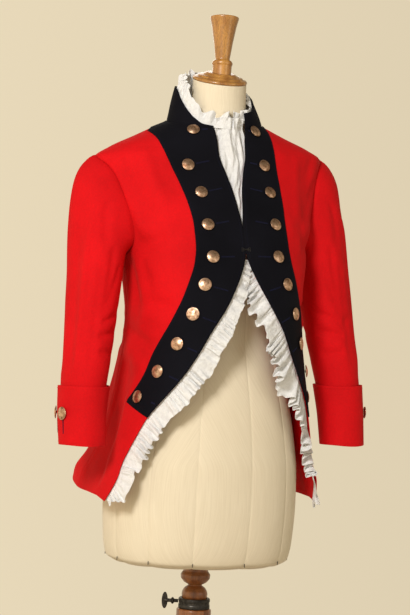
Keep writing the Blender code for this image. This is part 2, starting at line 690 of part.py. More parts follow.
def make_front_frill(side):
    """Gathered frill, caught under the front's edge from the hook down to the tail's tip."""
    count = FRILL_WAVES * STEPS_A_WAVE
    edge_heights = np.linspace(FRONT_EDGE[0][0] + 0.002, FRILL_TOP, 200)
    edge_angles = angle_at(smooth(FRONT_EDGE, 1, edge_heights), edge_heights)
    line = body_points(edge_angles, edge_heights)
    run = np.concatenate(([0.0], np.cumsum(np.linalg.norm(np.diff(line, axis=0), axis=1))))
    heights = np.interp(np.linspace(0, run[-1], count + 1), run, edge_heights)
    angles = angle_at(smooth(FRONT_EDGE, 1, heights), heights)
    edge = body_points(angles, heights)
    normals = body_normals(angles, heights)
    along = np.gradient(edge, axis=0)
    outward = np.cross(normals, along)
    outward /= np.linalg.norm(outward, axis=1, keepdims=True)
    share = np.linspace(0, 1, count + 1)
    width = FRILL_TOP_WIDTH + (FRILL_WIDTH - FRILL_TOP_WIDTH) * np.clip((1 - share) / 0.35, 0, 1)
    width *= np.clip(share / FRILL_TIP_SHARE, 0.3, 1)
    wave = np.sin(share * FRILL_WAVES * 2 * math.pi)
    depth = CLOTH + FRILL_LAY + FRILL_CLOTH / 2
    rows = []
    for part, swing in ((-1.0, 0.0), (0.25, 0.30), (1.0, 1.0)):
        across = np.where(part < 0, -FRILL_TUCK, part * width)
        push = depth + swing * FRILL_WAVE * (1 + 0.9 * wave) * (width / FRILL_WIDTH)
        rows.append(edge + outward * across[:, None] - normals * push[:, None])
    middle = np.array(rows)
    spread = grid_normals(middle)
    outer = middle + spread * FRILL_CLOTH / 2
    inner = middle - spread * FRILL_CLOTH / 2
    cloth_wall(f"frill_{side_name(side)}", place(outer, side), place(inner, side), muslin(), flip=side < 0)


def make_neck_frill():
    """Gathered frill, caught inside the collar and standing above it."""
    count = NECK_FRILL_WAVES * STEPS_A_WAVE
    signed = [math.degrees(angle if side < 0 else 2 * math.pi - angle) for side, angle, _ in neck_stations()]
    grid = collar_grid()
    root_row = NECK_FRILL_ROOT * COLLAR_ROWS
    low = int(root_row)
    root = grid[low] + (grid[low + 1] - grid[low]) * (root_row - low)
    rows = [[], [], []]
    for step in range(count + 1):
        at = NECK_FRILL_FRONT + (360 - 2 * NECK_FRILL_FRONT) * step / count
        foot = np.array([np.interp(at, signed, root[:, k]) for k in range(3)])
        edge = np.array([np.interp(at, signed, grid[-1][:, k]) for k in range(3)])
        degrees = min(at, 360 - at)
        free = float(smooth(NECK_FRILL_EDGE, 1 if at < 180 else 2, degrees))
        rise = max(free - edge[2], NECK_FRILL_LEAST)
        inset = float(smooth(NECK_FRILL_EDGE, 3, degrees))
        wave = NECK_FRILL_WAVE * math.sin(step * 2 * math.pi / STEPS_A_WAVE)
        caught = CLOTH + NECK_FRILL_LAY
        up = np.array([0.0, 0.0, 1.0])
        rows[0].append(foot + caught * inward_from(foot))
        rows[1].append(edge + (caught + 0.3 * abs(wave)) * inward_from(edge) + 0.0015 * up)
        rows[2].append(edge + (caught + inset + wave) * inward_from(edge) + rise * up)
    outer = np.array(rows)
    inner = outer + FRILL_CLOTH * grid_normals(outer)
    cloth_wall("neck_frill", lean(outer), lean(inner), muslin(), flip=True)


def make_jabot():
    """Gathered neckcloth that fills the opening between the fronts, above the hook."""
    top = FRONT_EDGE[-1][0] - 0.002
    rows = []
    for height, tuck, deep, swell in JABOT_ROWS:
        level = min(height, top)
        half = float(smooth(FRONT_EDGE, 1, level)) + tuck
        row = []
        for u in np.linspace(-1, 1, JABOT_COLUMNS + 1):
            angle = float(angle_at(abs(u) * half, level))
            point = body_points(angle, level)
            normal = body_normals(angle, level)
            swing = 1 + math.cos(u * JABOT_FOLDS * 2 * math.pi + height * 9)
            fold = JABOT_FOLD * (1 - 0.85 * u * u) * swing
            sink = deep + fold - swell * max(0.0, 1 - (u / 0.75) ** 2)
            point = point - sink * normal
            row.append((math.copysign(point[0], u) if u else 0.0, point[1], height))
        rows.append(row)
    outer = np.array(rows)
    inner = outer - FRILL_CLOTH * grid_normals(outer)
    cloth_wall("jabot", lean(outer), lean(inner), muslin())


def form_rings():
    """Rings of the dress form, from its flat foot to the sloping top of its neck."""
    turns = np.arange(FORM_SIDES) * 2 * math.pi / FORM_SIDES
    rings = [section_points(FORM_SECTIONS, turns, np.full(FORM_SIDES, row[0])) for row in FORM_SECTIONS]
    for height, clearance in SHOULDER_ROWS:
        half_turn = np.abs((turns + math.pi) % (2 * math.pi) - math.pi)
        front = FORM_FRONT_CLEARANCE * np.clip(np.cos(half_turn), 0, 1) ** 0.8
        back = FORM_BACK_CLEARANCE * np.clip(-np.cos(half_turn), 0, 1) ** 0.8
        levels = np.full(FORM_SIDES, height)
        inset = CLOTH + clearance + front + back
        ring = body_points(half_turn, levels) - inset[:, None] * body_normals(half_turn, levels)
        ring[:, 0] *= np.where(turns > math.pi, -1, 1)
        rings.append(lean(ring))
    for height, radius in NECK_SECTIONS:
        level = np.full(FORM_SIDES, height)
        rings.append(np.stack((radius * np.sin(turns), NECK_Y - radius * np.cos(turns), level), -1))
    x = NECK_TOP_RADIUS * np.sin(turns)
    y = -NECK_TOP_RADIUS * np.cos(turns)
    rings.append(np.stack((x, NECK_Y + y, NECK_TOP + x * NECK_LEAN + y * NECK_SLOPE), -1))
    return rings


def make_form():
    """Limbless dress form, one closed body."""
    mesh = bmesh.new()
    rings = [[mesh.verts.new(point) for point in ring] for ring in form_rings()]
    for low, high in zip(rings, rings[1:]):
        for k in range(FORM_SIDES):
            n = (k + 1) % FORM_SIDES
            mesh.faces.new((low[k], low[n], high[n], high[k]))
    mesh.faces.new(rings[0][::-1])
    mesh.faces.new(rings[-1])
    data = bpy.data.meshes.new("dress_form")
    mesh.to_mesh(data)
    mesh.free()
    add_object(data, "dress_form", linen())


def turned(name, profile, finish, sides=16, inner=0.0):
    """Solid turned about Z from an outer profile that runs down, closed to the axis or to a bore."""
    points = sorted(profile, key=lambda row: -row[1])
    ends = [(inner, points[-1][1]), (inner, points[0][1])]
    line = [ends[1]] + points + [ends[0]]
    data = bpy.data.meshes.new(name)
    edges = [(k, k + 1) for k in range(len(line) - 1)]
    if inner:
        edges.append((len(line) - 1, 0))
    data.from_pydata([(radius, 0.0, height) for radius, height in line], edges, [])
    thing = add_object(data, name, finish)
    screw = thing.modifiers.new("turn", "SCREW")
    screw.angle = 2 * math.pi
    screw.steps = sides
    screw.render_steps = sides
    screw.use_merge_vertices = True
    screw.merge_threshold = 0.00001
    screw.use_smooth_shade = True
    return thing


def bake(thing):
    """Turn an object's modifiers and placement into a plain mesh at the origin."""
    graph = bpy.context.evaluated_depsgraph_get()
    data = bpy.data.meshes.new_from_object(thing.evaluated_get(graph))
    data.transform(thing.matrix_world)
    thing.modifiers.clear()
    thing.data = data
    thing.matrix_world = Matrix.Identity(4)
    return thing


def make_stand():
    """Neck cap, finial, pole, column, base and the clamp with its thumbscrew."""
    normal = Vector((-NECK_LEAN, -NECK_SLOPE, 1.0)).normalized()
    tilt = normal.to_track_quat("Z", "Y").to_matrix().to_4x4()
    seat = Vector((0.0, NECK_Y, NECK_TOP))
    cap = turned("neck_cap", CAP_PROFILE, light_wood(), 20)
    cap.matrix_world = Matrix.Translation(seat) @ tilt
    finial = turned("finial", FINIAL_PROFILE, light_wood())
    bpy.context.view_layer.update()
    bake(finial)
    shape = bmesh.new()
    shape.from_mesh(finial.data)
    cut = seat + normal * (CAP_PROFILE[-1][1] + LAY)
    everything = shape.verts[:] + shape.edges[:] + shape.faces[:]
    bmesh.ops.bisect_plane(shape, geom=everything, plane_co=cut, plane_no=normal, clear_inner=True)
    bmesh.ops.holes_fill(shape, edges=[edge for edge in shape.edges if edge.is_boundary])
    shape.to_mesh(finial.data)
    shape.free()
    turned("pole", POLE_PROFILE, dark_wood())
    turned("column", COLUMN_PROFILE, dark_wood())
    turned("base", BASE_PROFILE, dark_wood(), 24)
    ring = ((CLAMP_OUTER - 0.001, CLAMP_HIGH), (CLAMP_OUTER, CLAMP_HIGH - 0.002),
            (CLAMP_OUTER, CLAMP_LOW + 0.002), (CLAMP_OUTER - 0.001, CLAMP_LOW))
    turned("clamp_ring", ring, iron(), 20, CLAMP_INNER)
    make_thumbscrew()


def make_thumbscrew():
    """Thumbscrew of the clamp: shank, bead and oval wing, joined into one body."""
    start = CLAMP_OUTER + LAY
    profile = (
        (SCREW_RADIUS, 0.0), (SCREW_RADIUS, SCREW_REACH * 0.45), (SCREW_BEAD, SCREW_REACH * 0.50),
        (SCREW_BEAD, SCREW_REACH * 0.66), (SCREW_RADIUS, SCREW_REACH * 0.72),
        (SCREW_RADIUS, SCREW_REACH + 0.004),
    )
    screw = turned("thumbscrew", profile, iron(), 10)
    along = SCREW_DIRECTION.normalized()
    turn = along.to_track_quat("Z", "Y").to_matrix().to_4x4()
    centre = Vector((0.0, 0.0, SCREW_HEIGHT))
    screw.matrix_world = Matrix.Translation(centre + along * start) @ turn
    bpy.context.view_layer.update()
    bake(screw)
    bpy.ops.mesh.primitive_cylinder_add(vertices=16, radius=0.5, depth=1.0)
    wing = bpy.context.object
    wing.name = "wing"
    wing.data.transform(Matrix.Diagonal((WING_DEPTH, WING_LENGTH, WING_THICKNESS, 1.0)))
    sideways = along.cross(Vector((0, 0, 1)))
    axes = Matrix((along, Vector((0, 0, 1)), sideways)).transposed().to_4x4()
    wing.data.transform(Matrix.Translation(centre + along * (start + SCREW_REACH + WING_DEPTH / 2)) @ axes)
    join = screw.modifiers.new("join", "BOOLEAN")
    join.operation = "UNION"
    join.object = wing
    bpy.context.view_layer.update()
    bake(screw)
    bpy.data.objects.remove(wing)


def main():
    """Build every piece of the jacket, the form and the stand."""
    for side in (-1, 1):
        make_front(side)
        make_back(side)
        make_lapel(side)
        make_sleeve(side)
        make_cuff(side)
        make_front_frill(side)
        make_buttons(side)
    make_collar()
    make_neck_frill()
    make_jabot()
    make_form()
    make_stand()


for old in list(bpy.data.objects):
    bpy.data.objects.remove(old)
PIECES = bpy.data.collections.new("officer_jacket")
bpy.context.scene.collection.children.link(PIECES)
main()
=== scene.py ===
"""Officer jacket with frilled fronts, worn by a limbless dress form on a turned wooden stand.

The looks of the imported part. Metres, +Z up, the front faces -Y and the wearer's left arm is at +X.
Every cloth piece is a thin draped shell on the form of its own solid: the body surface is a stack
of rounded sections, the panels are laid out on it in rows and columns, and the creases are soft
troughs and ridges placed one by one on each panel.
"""

import logging
import math
from collections.abc import Callable, Sequence
from dataclasses import dataclass
from enum import Enum

import bmesh
import bpy
import numpy as np
from mathutils import Matrix, Vector


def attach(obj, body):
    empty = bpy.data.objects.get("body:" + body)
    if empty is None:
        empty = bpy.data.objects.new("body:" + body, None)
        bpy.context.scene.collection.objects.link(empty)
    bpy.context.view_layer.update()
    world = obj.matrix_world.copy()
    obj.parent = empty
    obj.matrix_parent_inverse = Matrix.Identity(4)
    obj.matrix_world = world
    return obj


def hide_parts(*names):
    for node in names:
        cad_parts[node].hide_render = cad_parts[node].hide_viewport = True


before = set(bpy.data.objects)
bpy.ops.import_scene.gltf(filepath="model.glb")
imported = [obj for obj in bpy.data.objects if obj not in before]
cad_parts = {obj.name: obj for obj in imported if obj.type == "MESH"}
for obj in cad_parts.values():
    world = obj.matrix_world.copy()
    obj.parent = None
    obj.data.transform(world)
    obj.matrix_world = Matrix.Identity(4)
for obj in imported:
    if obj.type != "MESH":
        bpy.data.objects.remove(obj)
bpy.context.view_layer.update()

LOG = logging.getLogger("officer_jacket")
BODY = "root"

Table = tuple[tuple[float, ...], ...]
Colour = tuple[float, float, float]
Piece = bpy.types.Object
Socket = bpy.types.NodeSocket


class Hand(Enum):
    """The wearer's side. Its value is the sign of X."""

    RIGHT = -1
    LEFT = 1

    @property
    def word(self) -> str:
        """The side as it stands in a node's name."""
        return self.name.lower()


class Slot(Enum):
    """Material slots of the record."""

    SCARLET = "scarlet_wool"
    NAVY = "navy_wool"
    COTTON = "white_cotton"
    LINEN = "cream_linen"
    HONEY = "honey_wood"
    BROWN = "brown_wood"
    BRASS = "worn_brass"
    IRON = "black_iron"


class Held(Enum):
    """How a cut sheet of cloth is held."""

    HUNG = "hung"
    GATHERED = "gathered"


def smooth(table: Sequence[Sequence[float]], column: int, at: np.ndarray | float) -> np.ndarray:
    """Read one column of a table by a monotone cubic.

    Args:
        table: Rows in rising order of their first column.
        column: The column to read.
        at: One or many values of the first column.

    Returns:
        The column's values there, held at the ends.
    """
    xs = np.array([row[0] for row in table], float)
    ys = np.array([row[column] for row in table], float)
    at = np.clip(np.asarray(at, float), xs[0], xs[-1])
    steps = np.diff(xs)
    rates = np.diff(ys) / steps
    slopes = np.zeros_like(ys)
    for i in range(1, len(xs) - 1):
        if rates[i - 1] * rates[i] > 0:
            before = 2 * steps[i] + steps[i - 1]
            after = steps[i] + 2 * steps[i - 1]
            slopes[i] = (before + after) / (before / rates[i - 1] + after / rates[i])
    slopes[0], slopes[-1] = rates[0], rates[-1]
    i = np.clip(np.searchsorted(xs, at, side="right") - 1, 0, len(xs) - 2)
    t = (at - xs[i]) / steps[i]
    start = ys[i] * (1 + 2 * t) * (1 - t) ** 2 + slopes[i] * steps[i] * t * (1 - t) ** 2
    end = ys[i + 1] * t * t * (3 - 2 * t) + slopes[i + 1] * steps[i] * t * t * (t - 1)
    return start + end


def ease(value: np.ndarray | float) -> np.ndarray:
    """Soft step from 0 to 1."""
    value = np.clip(value, 0.0, 1.0)
    return value * value * (3 - 2 * value)


def unit(vectors: np.ndarray) -> np.ndarray:
    """Vectors brought to length 1."""
    return vectors / np.maximum(np.linalg.norm(vectors, axis=-1, keepdims=True), 1e-12)


def grid_normals(grid: np.ndarray, closed: bool = False) -> np.ndarray:
    """Unit normals of a grid of rising rows whose columns run anticlockwise from above.

    Args:
        grid: Points in rows and columns.
        closed: Whether the last column meets the first one.

    Returns:
        One normal a point.
    """
    up = np.gradient(grid, axis=0)
    if closed:
        ring = grid[:, :-1]
        around = np.roll(ring, -1, axis=1) - np.roll(ring, 1, axis=1)
        around = np.concatenate((around, around[:, :1]), axis=1)
    else:
        around = np.gradient(grid, axis=1)
    return unit(np.cross(around, up))


def loft(rings: np.ndarray, steps: int) -> np.ndarray:
    """Fill the space between rings with a smooth curve through each column of points.

    Args:
        rings: Rings of points, from the lowest to the highest.
        steps: New rings in each gap.

    Returns:
        The rings with the new ones between them.
    """
    ends = np.concatenate((2 * rings[:1] - rings[1:2], rings, 2 * rings[-1:] - rings[-2:-1]))
    filled = []
    for before, low, high, after in zip(ends, ends[1:], ends[2:], ends[3:]):
        for t in np.arange(steps) / steps:
            weights = (-t + 2 * t**2 - t**3, 2 - 5 * t**2 + 3 * t**3, t + 4 * t**2 - 3 * t**3, t**3 - t**2)
            filled.append(sum(w * r for w, r in zip(weights, (before, low, high, after))) / 2)
    filled.append(rings[-1])
    return np.array(filled)


@dataclass(frozen=True)
class Figure:
    """Outer surface of the jacket's body and the lines cut on it.

    The sections give height, half width, front depth, back depth, y of the widest point, roundness.
    """

    sections: Table = (
        (0.680, 0.221, 0.166, 0.216, 0.030, 3.00),
        (0.733, 0.212, 0.175, 0.214, 0.025, 3.00),
        (0.772, 0.201, 0.180, 0.176, 0.015, 2.60),
        (0.810, 0.192, 0.184, 0.143, 0.005, 2.50),
        (0.845, 0.185, 0.186, 0.132, 0.000, 2.40),
        (0.884, 0.177, 0.186, 0.124, 0.000, 2.40),
        (0.930, 0.169, 0.182, 0.116, 0.000, 2.40),
        (0.990, 0.162, 0.180, 0.108, 0.000, 2.30),
        (1.045, 0.160, 0.171, 0.108, 0.000, 2.40),
        (1.080, 0.163, 0.161, 0.112, 0.000, 2.50),
        (1.120, 0.168, 0.149, 0.118, 0.000, 2.60),
        (1.155, 0.173, 0.137, 0.122, 0.002, 2.60),
        (1.195, 0.185, 0.121, 0.125, 0.006, 2.40),
        (1.230, 0.198, 0.106, 0.126, 0.012, 2.20),
        (1.265, 0.211, 0.089, 0.124, 0.018, 2.00),
        (1.300, 0.223, 0.073, 0.118, 0.025, 1.90),
        (1.325, 0.230, 0.064, 0.108, 0.032, 1.85),
        (1.345, 0.200, 0.058, 0.098, 0.036, 1.85),
        (1.365, 0.155, 0.053, 0.090, 0.038, 1.75),
        (1.380, 0.122, 0.049, 0.083, 0.038, 1.65),
        (1.394, 0.091, 0.045, 0.077, 0.036, 1.60),
        (1.410, 0.078, 0.042, 0.074, 0.034, 1.60),
    )
    # the jacket hangs lower on the wearer's right: height, rise for each metre of +X
    lean_rows: Table = (
        (0.70, 0.0), (0.85, 0.030), (1.00, 0.048), (1.20, 0.075), (1.33, 0.075), (1.40, 0.062),
        (1.45, 0.007),
    )
    # height, distance from the middle
    front_edge: Table = (
        (0.694, 0.2125), (0.743, 0.1985), (0.776, 0.1875), (0.816, 0.1740), (0.854, 0.1590),
        (0.888, 0.1390), (0.924, 0.1150), (0.964, 0.0920), (1.008, 0.0697), (1.044, 0.0470),
        (1.079, 0.0270), (1.106, 0.0138), (1.132, 0.0042), (1.150, 0.0012), (1.173, 0.0012),
        (1.200, 0.0024), (1.218, 0.0050), (1.255, 0.0100), (1.290, 0.0182), (1.325, 0.0275),
        (1.353, 0.0290), (1.374, 0.0320),
    )
    facing_edge: Table = (
        (0.877, 0.1754), (0.898, 0.1680), (0.926, 0.1585), (0.962, 0.1490), (0.994, 0.1385),
        (1.025, 0.1275), (1.061, 0.1150), (1.097, 0.1040), (1.128, 0.0952), (1.159, 0.0912),
        (1.196, 0.0908), (1.237, 0.0942), (1.269, 0.0983), (1.306, 0.1040), (1.343, 0.1095),
        (1.376, 0.1120),
    )
    # how much wider the right facing is than the mean, and the left one narrower
    facing_skew: Table = (
        (1.200, 0.0), (1.237, 0.0022), (1.269, 0.0062), (1.306, 0.0130), (1.343, 0.0195),
        (1.376, 0.0235),
    )

    @staticmethod
    def ring(table: Table, angle: np.ndarray | float, height: np.ndarray | float) -> np.ndarray:
        """Points of a stack of rounded sections.

        Args:
            table: Sections, in the order of columns that the class names.
            angle: Radians from the front middle, pi at the back.
            height: Height of each point.

        Returns:
            The points.
        """
        angle, height = np.asarray(angle, float), np.asarray(height, float)
        half, front, back, side_y, power = (smooth(table, k, height) for k in range(1, 6))
        sine, cosine = np.sin(angle), np.cos(angle)
        x = half * np.sign(sine) * np.abs(sine) ** (2 / power)
        reach = np.abs(cosine) ** (2 / power)
        y = np.where(cosine > 0, side_y - (front + side_y) * reach, side_y + (back - side_y) * reach)
        return np.stack(np.broadcast_arrays(x, y, height), -1)

    def points(self, angle: np.ndarray | float, height: np.ndarray | float) -> np.ndarray:
        """Points of the outer surface on the half at +X."""
        return self.ring(self.sections, angle, height)

    def normals(self, angle: np.ndarray | float, height: np.ndarray | float) -> np.ndarray:
        """Outward normals of the outer surface."""
        turn, lift = 0.03, 0.002
        around = self.points(angle + turn, height) - self.points(angle - turn, height)
        up = self.points(angle, height + lift) - self.points(angle, height - lift)
        return unit(np.cross(around, up))

    def angle_at(self, x: np.ndarray | float, height: np.ndarray | float) -> np.ndarray:
        """Angle on the front half at which the surface is x from the middle."""
        half = smooth(self.sections, 1, height)
        power = smooth(self.sections, 5, height)
        return np.arcsin(np.clip(x / half, 0, 1) ** (power / 2))

    def edge_angle(self, height: np.ndarray | float) -> np.ndarray:
        """Angle of the front's edge at a height."""
        return self.angle_at(smooth(self.front_edge, 1, height), height)

    def lean(self, points: np.ndarray) -> np.ndarray:
        """Tip the garment as it hangs, lower at -X."""
        points = np.array(points, float)
        heights, rises = np.array(self.lean_rows).T
        points[..., 2] += np.interp(points[..., 2], heights, rises) * points[..., 0]
        return points

    def place(self, points: np.ndarray, hand: Hand) -> np.ndarray:
        """Points of the +X half brought to one side and leaned."""
        return self.lean(np.asarray(points, float) * np.array([hand.value, 1.0, 1.0]))


@dataclass(frozen=True)
class Cutting:
    """Rows and columns on which the fronts and backs are laid out.

    A cutting line gives its row, and its height at the front edge, the side and the back.
    """

    figure: Figure = Figure()
    lines: Table = (
        (0, 0.694, 0.706, 0.764), (2, 0.776, 0.788, 0.815), (5, 0.851, 0.891, 0.895),
        (10, 1.004, 1.010, 1.010), (14, 1.140, 1.140, 1.140), (22, 1.327, 1.331, 1.331),
        (26, 1.3705, 1.3900, 1.3985), (27, 1.374, 1.394, 1.402),
    )
    # height, angle of the armhole's front edge, angle of its back edge
    armhole: Table = (
        (1.140, 95.0, 95.0), (1.163, 80.0, 111.0), (1.187, 73.5, 117.0), (1.211, 70.5, 119.0),
        (1.235, 69.0, 118.0), (1.259, 68.5, 115.0), (1.283, 69.0, 111.0), (1.307, 73.0, 105.0),
        (1.331, 90.0, 90.0),
    )
    foot: float = 5.0
    waist: float = 10.0
    underarm: float = 14.0
    tip: float = 22.0
    top: float = 27.0
    side_seam: float = 95.0
    rows_a_line: int = 5
    facing_columns: int = 22
    panel_columns: int = 42
    back_columns: int = 46
    facing_share: float = 0.60
    facing_foot_share: float = 0.35
    seam_strip: float = 0.003
    seam_gap: float = 0.00025
    vent_gap: float = 0.010
    edge_trim: float = 0.0034
    seam_marks: tuple[float, ...] = (0.0, 0.0007, 0.0016, 0.0030)
    seam_marks_need: float = 0.014

    def rows(self, low: float = 0.0, high: float = 27.0) -> np.ndarray:
        """Fractional rows from one cutting line to another."""
        return np.linspace(low, high, int(round((high - low) * self.rows_a_line)) + 1)

    def heights(self, row: float) -> np.ndarray:
        """Height of a row at the front edge, the side and the back."""
        table = np.array(self.lines)
        return np.array([np.interp(row, table[:, 0], table[:, k]) for k in (1, 2, 3)])

    def seam_angles(self, row: float) -> tuple[float, float]:
        """Angles at which the front ends and the back begins on a row."""
        if row <= self.underarm:
            return math.radians(self.side_seam), math.radians(self.side_seam)
        if row >= self.tip:
            return math.pi / 2, math.pi / 2
        height = self.heights(row)[1]
        return tuple(math.radians(float(smooth(self.armhole, k, height))) for k in (1, 2))

    def stretch(
        self, start: Sequence[float], end: Sequence[float], marks: Callable[[float], np.ndarray]
    ) -> tuple[np.ndarray, np.ndarray, np.ndarray, float]:
        """Lay points along the surface from one place to another.

        Args:
            start: Angle and height of the start.
            end: Angle and height of the end.
            marks: Distances from the start, worked out from the whole length.

        Returns:
            Angles, heights and distances from the start, and the whole length.
        """
        share = np.linspace(0, 1, 60)
        turn = start[0] + (end[0] - start[0]) * share
        rise = start[1] + (end[1] - start[1]) * share
        steps = np.linalg.norm(np.diff(self.figure.points(turn, rise), axis=0), axis=1)
        run = np.concatenate(([0.0], np.cumsum(steps)))
        spots = marks(run[-1])
        at = np.interp(spots, run, share)
        return np.interp(at, share, turn), np.interp(at, share, rise), spots, run[-1]

    def seam_spots(self, length: float, count: int, first: bool, last: bool,
                   trims: Sequence[float]) -> np.ndarray:
        """Evenly spread distances, closer together beside a seam.

        Args:
            length: Whole length.
            count: Even steps.
            first: Whether the start is a seam.
            last: Whether the end is a seam.
            trims: Lengths left off at the start and the end.

        Returns:
            The distances.
        """
        close = np.array(self.seam_marks) * min(1.0, length / self.seam_marks_need)
        low = trims[0] + (close if first else close[:1])
        high = length - trims[1] - (close[::-1] if last else close[:1])
        return np.concatenate((low, np.linspace(low[-1], high[0], count + 1)[1:-1], high))

    def front_ends(self, hand: Hand, row: float) -> tuple[tuple, tuple, tuple]:
        """Where a front's row starts, passes the facing's outer edge, and ends.

        Args:
            hand: The wearer's side.
            row: Fractional row.

        Returns:
            Angle and height of the three places.
        """
        edge, side, _ = self.heights(row)
        start = (float(self.figure.edge_angle(edge)), edge)
        end = (self.seam_angles(row)[0], side)
        height = edge + self.facing_share * (side - edge)
        if row < self.foot:
            at_foot = self.front_ends(hand, self.foot)
            reached = (at_foot[1][0] - at_foot[0][0]) / (at_foot[2][0] - at_foot[0][0])
            share = self.facing_foot_share + (reached - self.facing_foot_share) * row / self.foot
            return start, (start[0] + (end[0] - start[0]) * share, height), end
        skew = float(smooth(self.figure.facing_skew, 1, height)) * -hand.value
        reach = float(smooth(self.figure.facing_edge, 1, height)) + skew
        middle = (float(self.figure.angle_at(reach, height)), height)
        strip = self.stretch(end, start, lambda length: np.array([self.seam_strip]))
        if strip[0][0] < middle[0]:
            middle = (float(strip[0][0]), float(strip[1][0]))
        return start, middle, end

    def facing(self, hand: Hand, rows: np.ndarray, trim: float = 0.0) -> tuple[np.ndarray, np.ndarray]:
        """Angles and heights of the facing's columns.

        Args:
            hand: The wearer's side.
            rows: Fractional rows.
            trim: Length left off at the front's edge above the facing's foot.

        Returns:
            Angles and heights, a row each.
        """
        angles, heights = [], []
        for row in rows:
            start, middle, _ = self.front_ends(hand, row)
            cut = trim * float(ease((row - self.foot) / 0.3))
            spots = self.stretch(start, middle, lambda n: np.linspace(cut, n, self.facing_columns + 1))
            angles.append(spots[0])
            heights.append(spots[1])
        return np.array(angles), np.array(heights)

    def panel(self, hand: Hand, rows: np.ndarray) -> tuple[np.ndarray, ...]:
        """The front's columns from the facing to the side seam, armhole or shoulder seam.

        Args:
            hand: The wearer's side.
            rows: Fractional rows.

        Returns:
            Angles, heights, distances from the facing and distances from the seam.
        """
        found = []
        for row in rows:
            _, middle, end = self.front_ends(hand, row)
            trims = (0.0, self.seam_gap)
            turn, rise, spots, length = self.stretch(
                middle, end, lambda n: self.seam_spots(n, self.panel_columns, False, True, trims))
            found.append((turn, rise, spots, length - spots))
        return tuple(np.array([row[k] for row in found]) for k in range(4))

    def back(self, rows: np.ndarray) -> tuple[np.ndarray, ...]:
        """The back's columns from the side seam to the middle seam and its vent.

        Args:
            rows: Fractional rows.

        Returns:
            Angles, heights, distances from the side and distances from the middle.
        """
        found = []
        for row in rows:
            _, side, back = self.heights(row)
            depth = float(np.clip((self.waist - row) / self.waist, 0, 1))
            trims = (self.seam_gap, self.seam_gap + self.vent_gap * depth)
            turn, rise, spots, length = self.stretch(
                (self.seam_angles(row)[1], side), (math.pi, back),
                lambda n: self.seam_spots(n, self.back_columns, True, True, trims))
            found.append((turn, rise, spots, length - spots))
        return tuple(np.array([row[k] for row in found]) for k in range(4))


